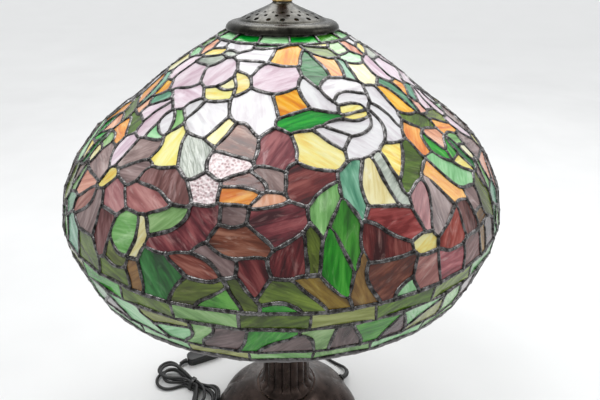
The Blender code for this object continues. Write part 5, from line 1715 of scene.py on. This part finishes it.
def build_finial():
    """The seat ring and the finial: a knurled foot under a turned stem and knob."""
    ring = [(BORE, 565.1), (9.2, 565.1), (9.9, 565.6), (9.9, 566.6), (9.0, 567.3), (BORE, 567.3)]
    spun_piece("finial_seat", "finial_washer", eased(ring, 0.4), "cap")
    low = 567.6  # where the finial starts
    line = [
        (BORE, 0), (6.9, 0), (7.3, 0.8), (7.3, 3.0), (6.5, 3.6), (6.0, 5), (6.0, 8.6), (6.6, 9.2),
        (6.9, 10.0), (6.6, 10.8), (7.2, 11.4), (8.7, 13), (9.7, 16), (9.7, 19), (8.8, 22.5), (7.0, 26),
        (4.6, 28.8), (3.1, 30.4), (2.9, 31.6), (3.5, 32.8), (3.7, 34.2), (2.9, 35.8), (1.4, 36.8), (0, 37),
    ]

    def knurl(radius, height, angle):
        return 1.0 + (0.02 * math.cos(36 * angle) if radius > 6.7 and height < low + 3.4 else 0.0)

    line = [(r, low + z) for r, z in eased(line, 0.5, 3)]
    bm = bmesh.new()
    spin(bm, [(0.0, low + 21.0), (BORE, low + 20.0), *line], 108, warp=knurl)
    return add_piece("turned_finial", bm, "finial", ["finial"], 50)


def build_lamps():
    """Frosted lamps with threaded bases in their beaded holders."""
    pitch = 3.6

    def thread(radius, height, angle):
        threaded = radius > 12.5 and height < 80.5
        return 1.0 + (0.03 * math.sin(height * math.tau / pitch - angle) if threaded else 0.0)

    # outlines along a lamp's own axis, which starts in the middle of the cluster
    glass = [
        (13.2, 82), (13.6, 84), (14.2, 88), (18, 98), (24, 108), (28.6, 119), (30, 129), (28.6, 139),
        (24, 148.5), (16.5, 156), (8, 160), (0, 161),
    ]
    glass = [(0.0, 82.0), *curve_through(glass, 2.0)]
    shell = [
        (0.0, 36), (9, 36), (17, 41), (19, 47), (19, 51), (19.6, 51.6), (19.6, 53.4), (19, 54), (19, 82),
        (19.7, 82.6), (19.7, 84), (15.4, 84), (15.4, 52), (0.0, 52),
    ]
    turns = [(13.0, 61 + 0.45 * k) for k in range(45)]
    base = [(0, 55), (5, 55), (8, 57.5), (12.6, 60), *turns, (13.0, 81.7), (0, 81.7)]
    for side, word in ((-1, "left"), (1, "right")):
        axes = axes_at((0.0, 0.0, 0.350), Vector((side * math.sin(math.radians(60.0)), 0.0, 0.5)))
        for name, node, line, body, slot, warp in (
            ("lamp", "bulb_glass", glass, f"bulb_{word}", "frosted_glass", None),
            ("lamp_thread", "bulb_base", base, f"bulb_{word}", "screw_shell", thread),
            ("lamp_holder", "socket_shell", eased(shell, 0.5), "base", "brass", None),
        ):
            spun_piece(f"{name}_{word}", f"{node}_{word}", line, body, 64, axes, warp, False)
    cluster = [
        (BORE, 345), (16, 345), (20, 348.5), (20, 350.5), (20.6, 351.2), (20.6, 352.8), (20, 353.5),
        (20, 366), (18, 369.5), (13, 375), (BORE, 376),
    ]
    spun_piece("turned_cluster", "cluster_body", eased(cluster, 0.8), "base", 64)


def build_rim_wire():
    """The soldered wire under the shade's lowest row, a little uneven along its length."""
    def uneven(radius, height, angle):
        waves = math.sin(71 * angle) + 0.7 * math.sin(173 * angle + 1.0) + 0.5 * math.sin(29 * angle)
        return 1.0 + 0.0012 * waves

    centre, size, sides = (213.6, 316.6), 1.75, 10
    turns = [math.tau * k / sides for k in range(sides)]
    line = [(centre[0] + size * math.cos(a), centre[1] + size * math.sin(a)) for a in turns]
    spun_piece("soldered_rim", "shade_rim_wire", line, "shade", 480, warp=uneven)


build_base_pieces()
build_cap()
build_finial()
build_lamps()
build_rim_wire()
dress(BRONZE, "cast_foot", "reeded_column", "turned_collar")
dress(CAP_METAL, "vented_cap")
dress(BRASS, "finial_seat", "lamp_holder_left", "lamp_holder_right", "turned_cluster")
dress(COPPER, "turned_finial")
dress(STEEL, "lamp_thread_left", "lamp_thread_right", "plug_prong_left", "plug_prong_right")
# the lamps and the rim wire wear the frame's own plain materials
dress(bpy.data.materials["frosted_glass"], "lamp_left", "lamp_right")
dress(bpy.data.materials["solder"], "soldered_rim")
dress(PLASTIC, "foot_grommet", "foot_sleeve", "switch_case_low", "switch_case_high", "switch_key")
dress(PLASTIC, "plug_moulding", "switch_sleeve_left", "switch_sleeve_right", "plug_sleeve", "bundle_tie")
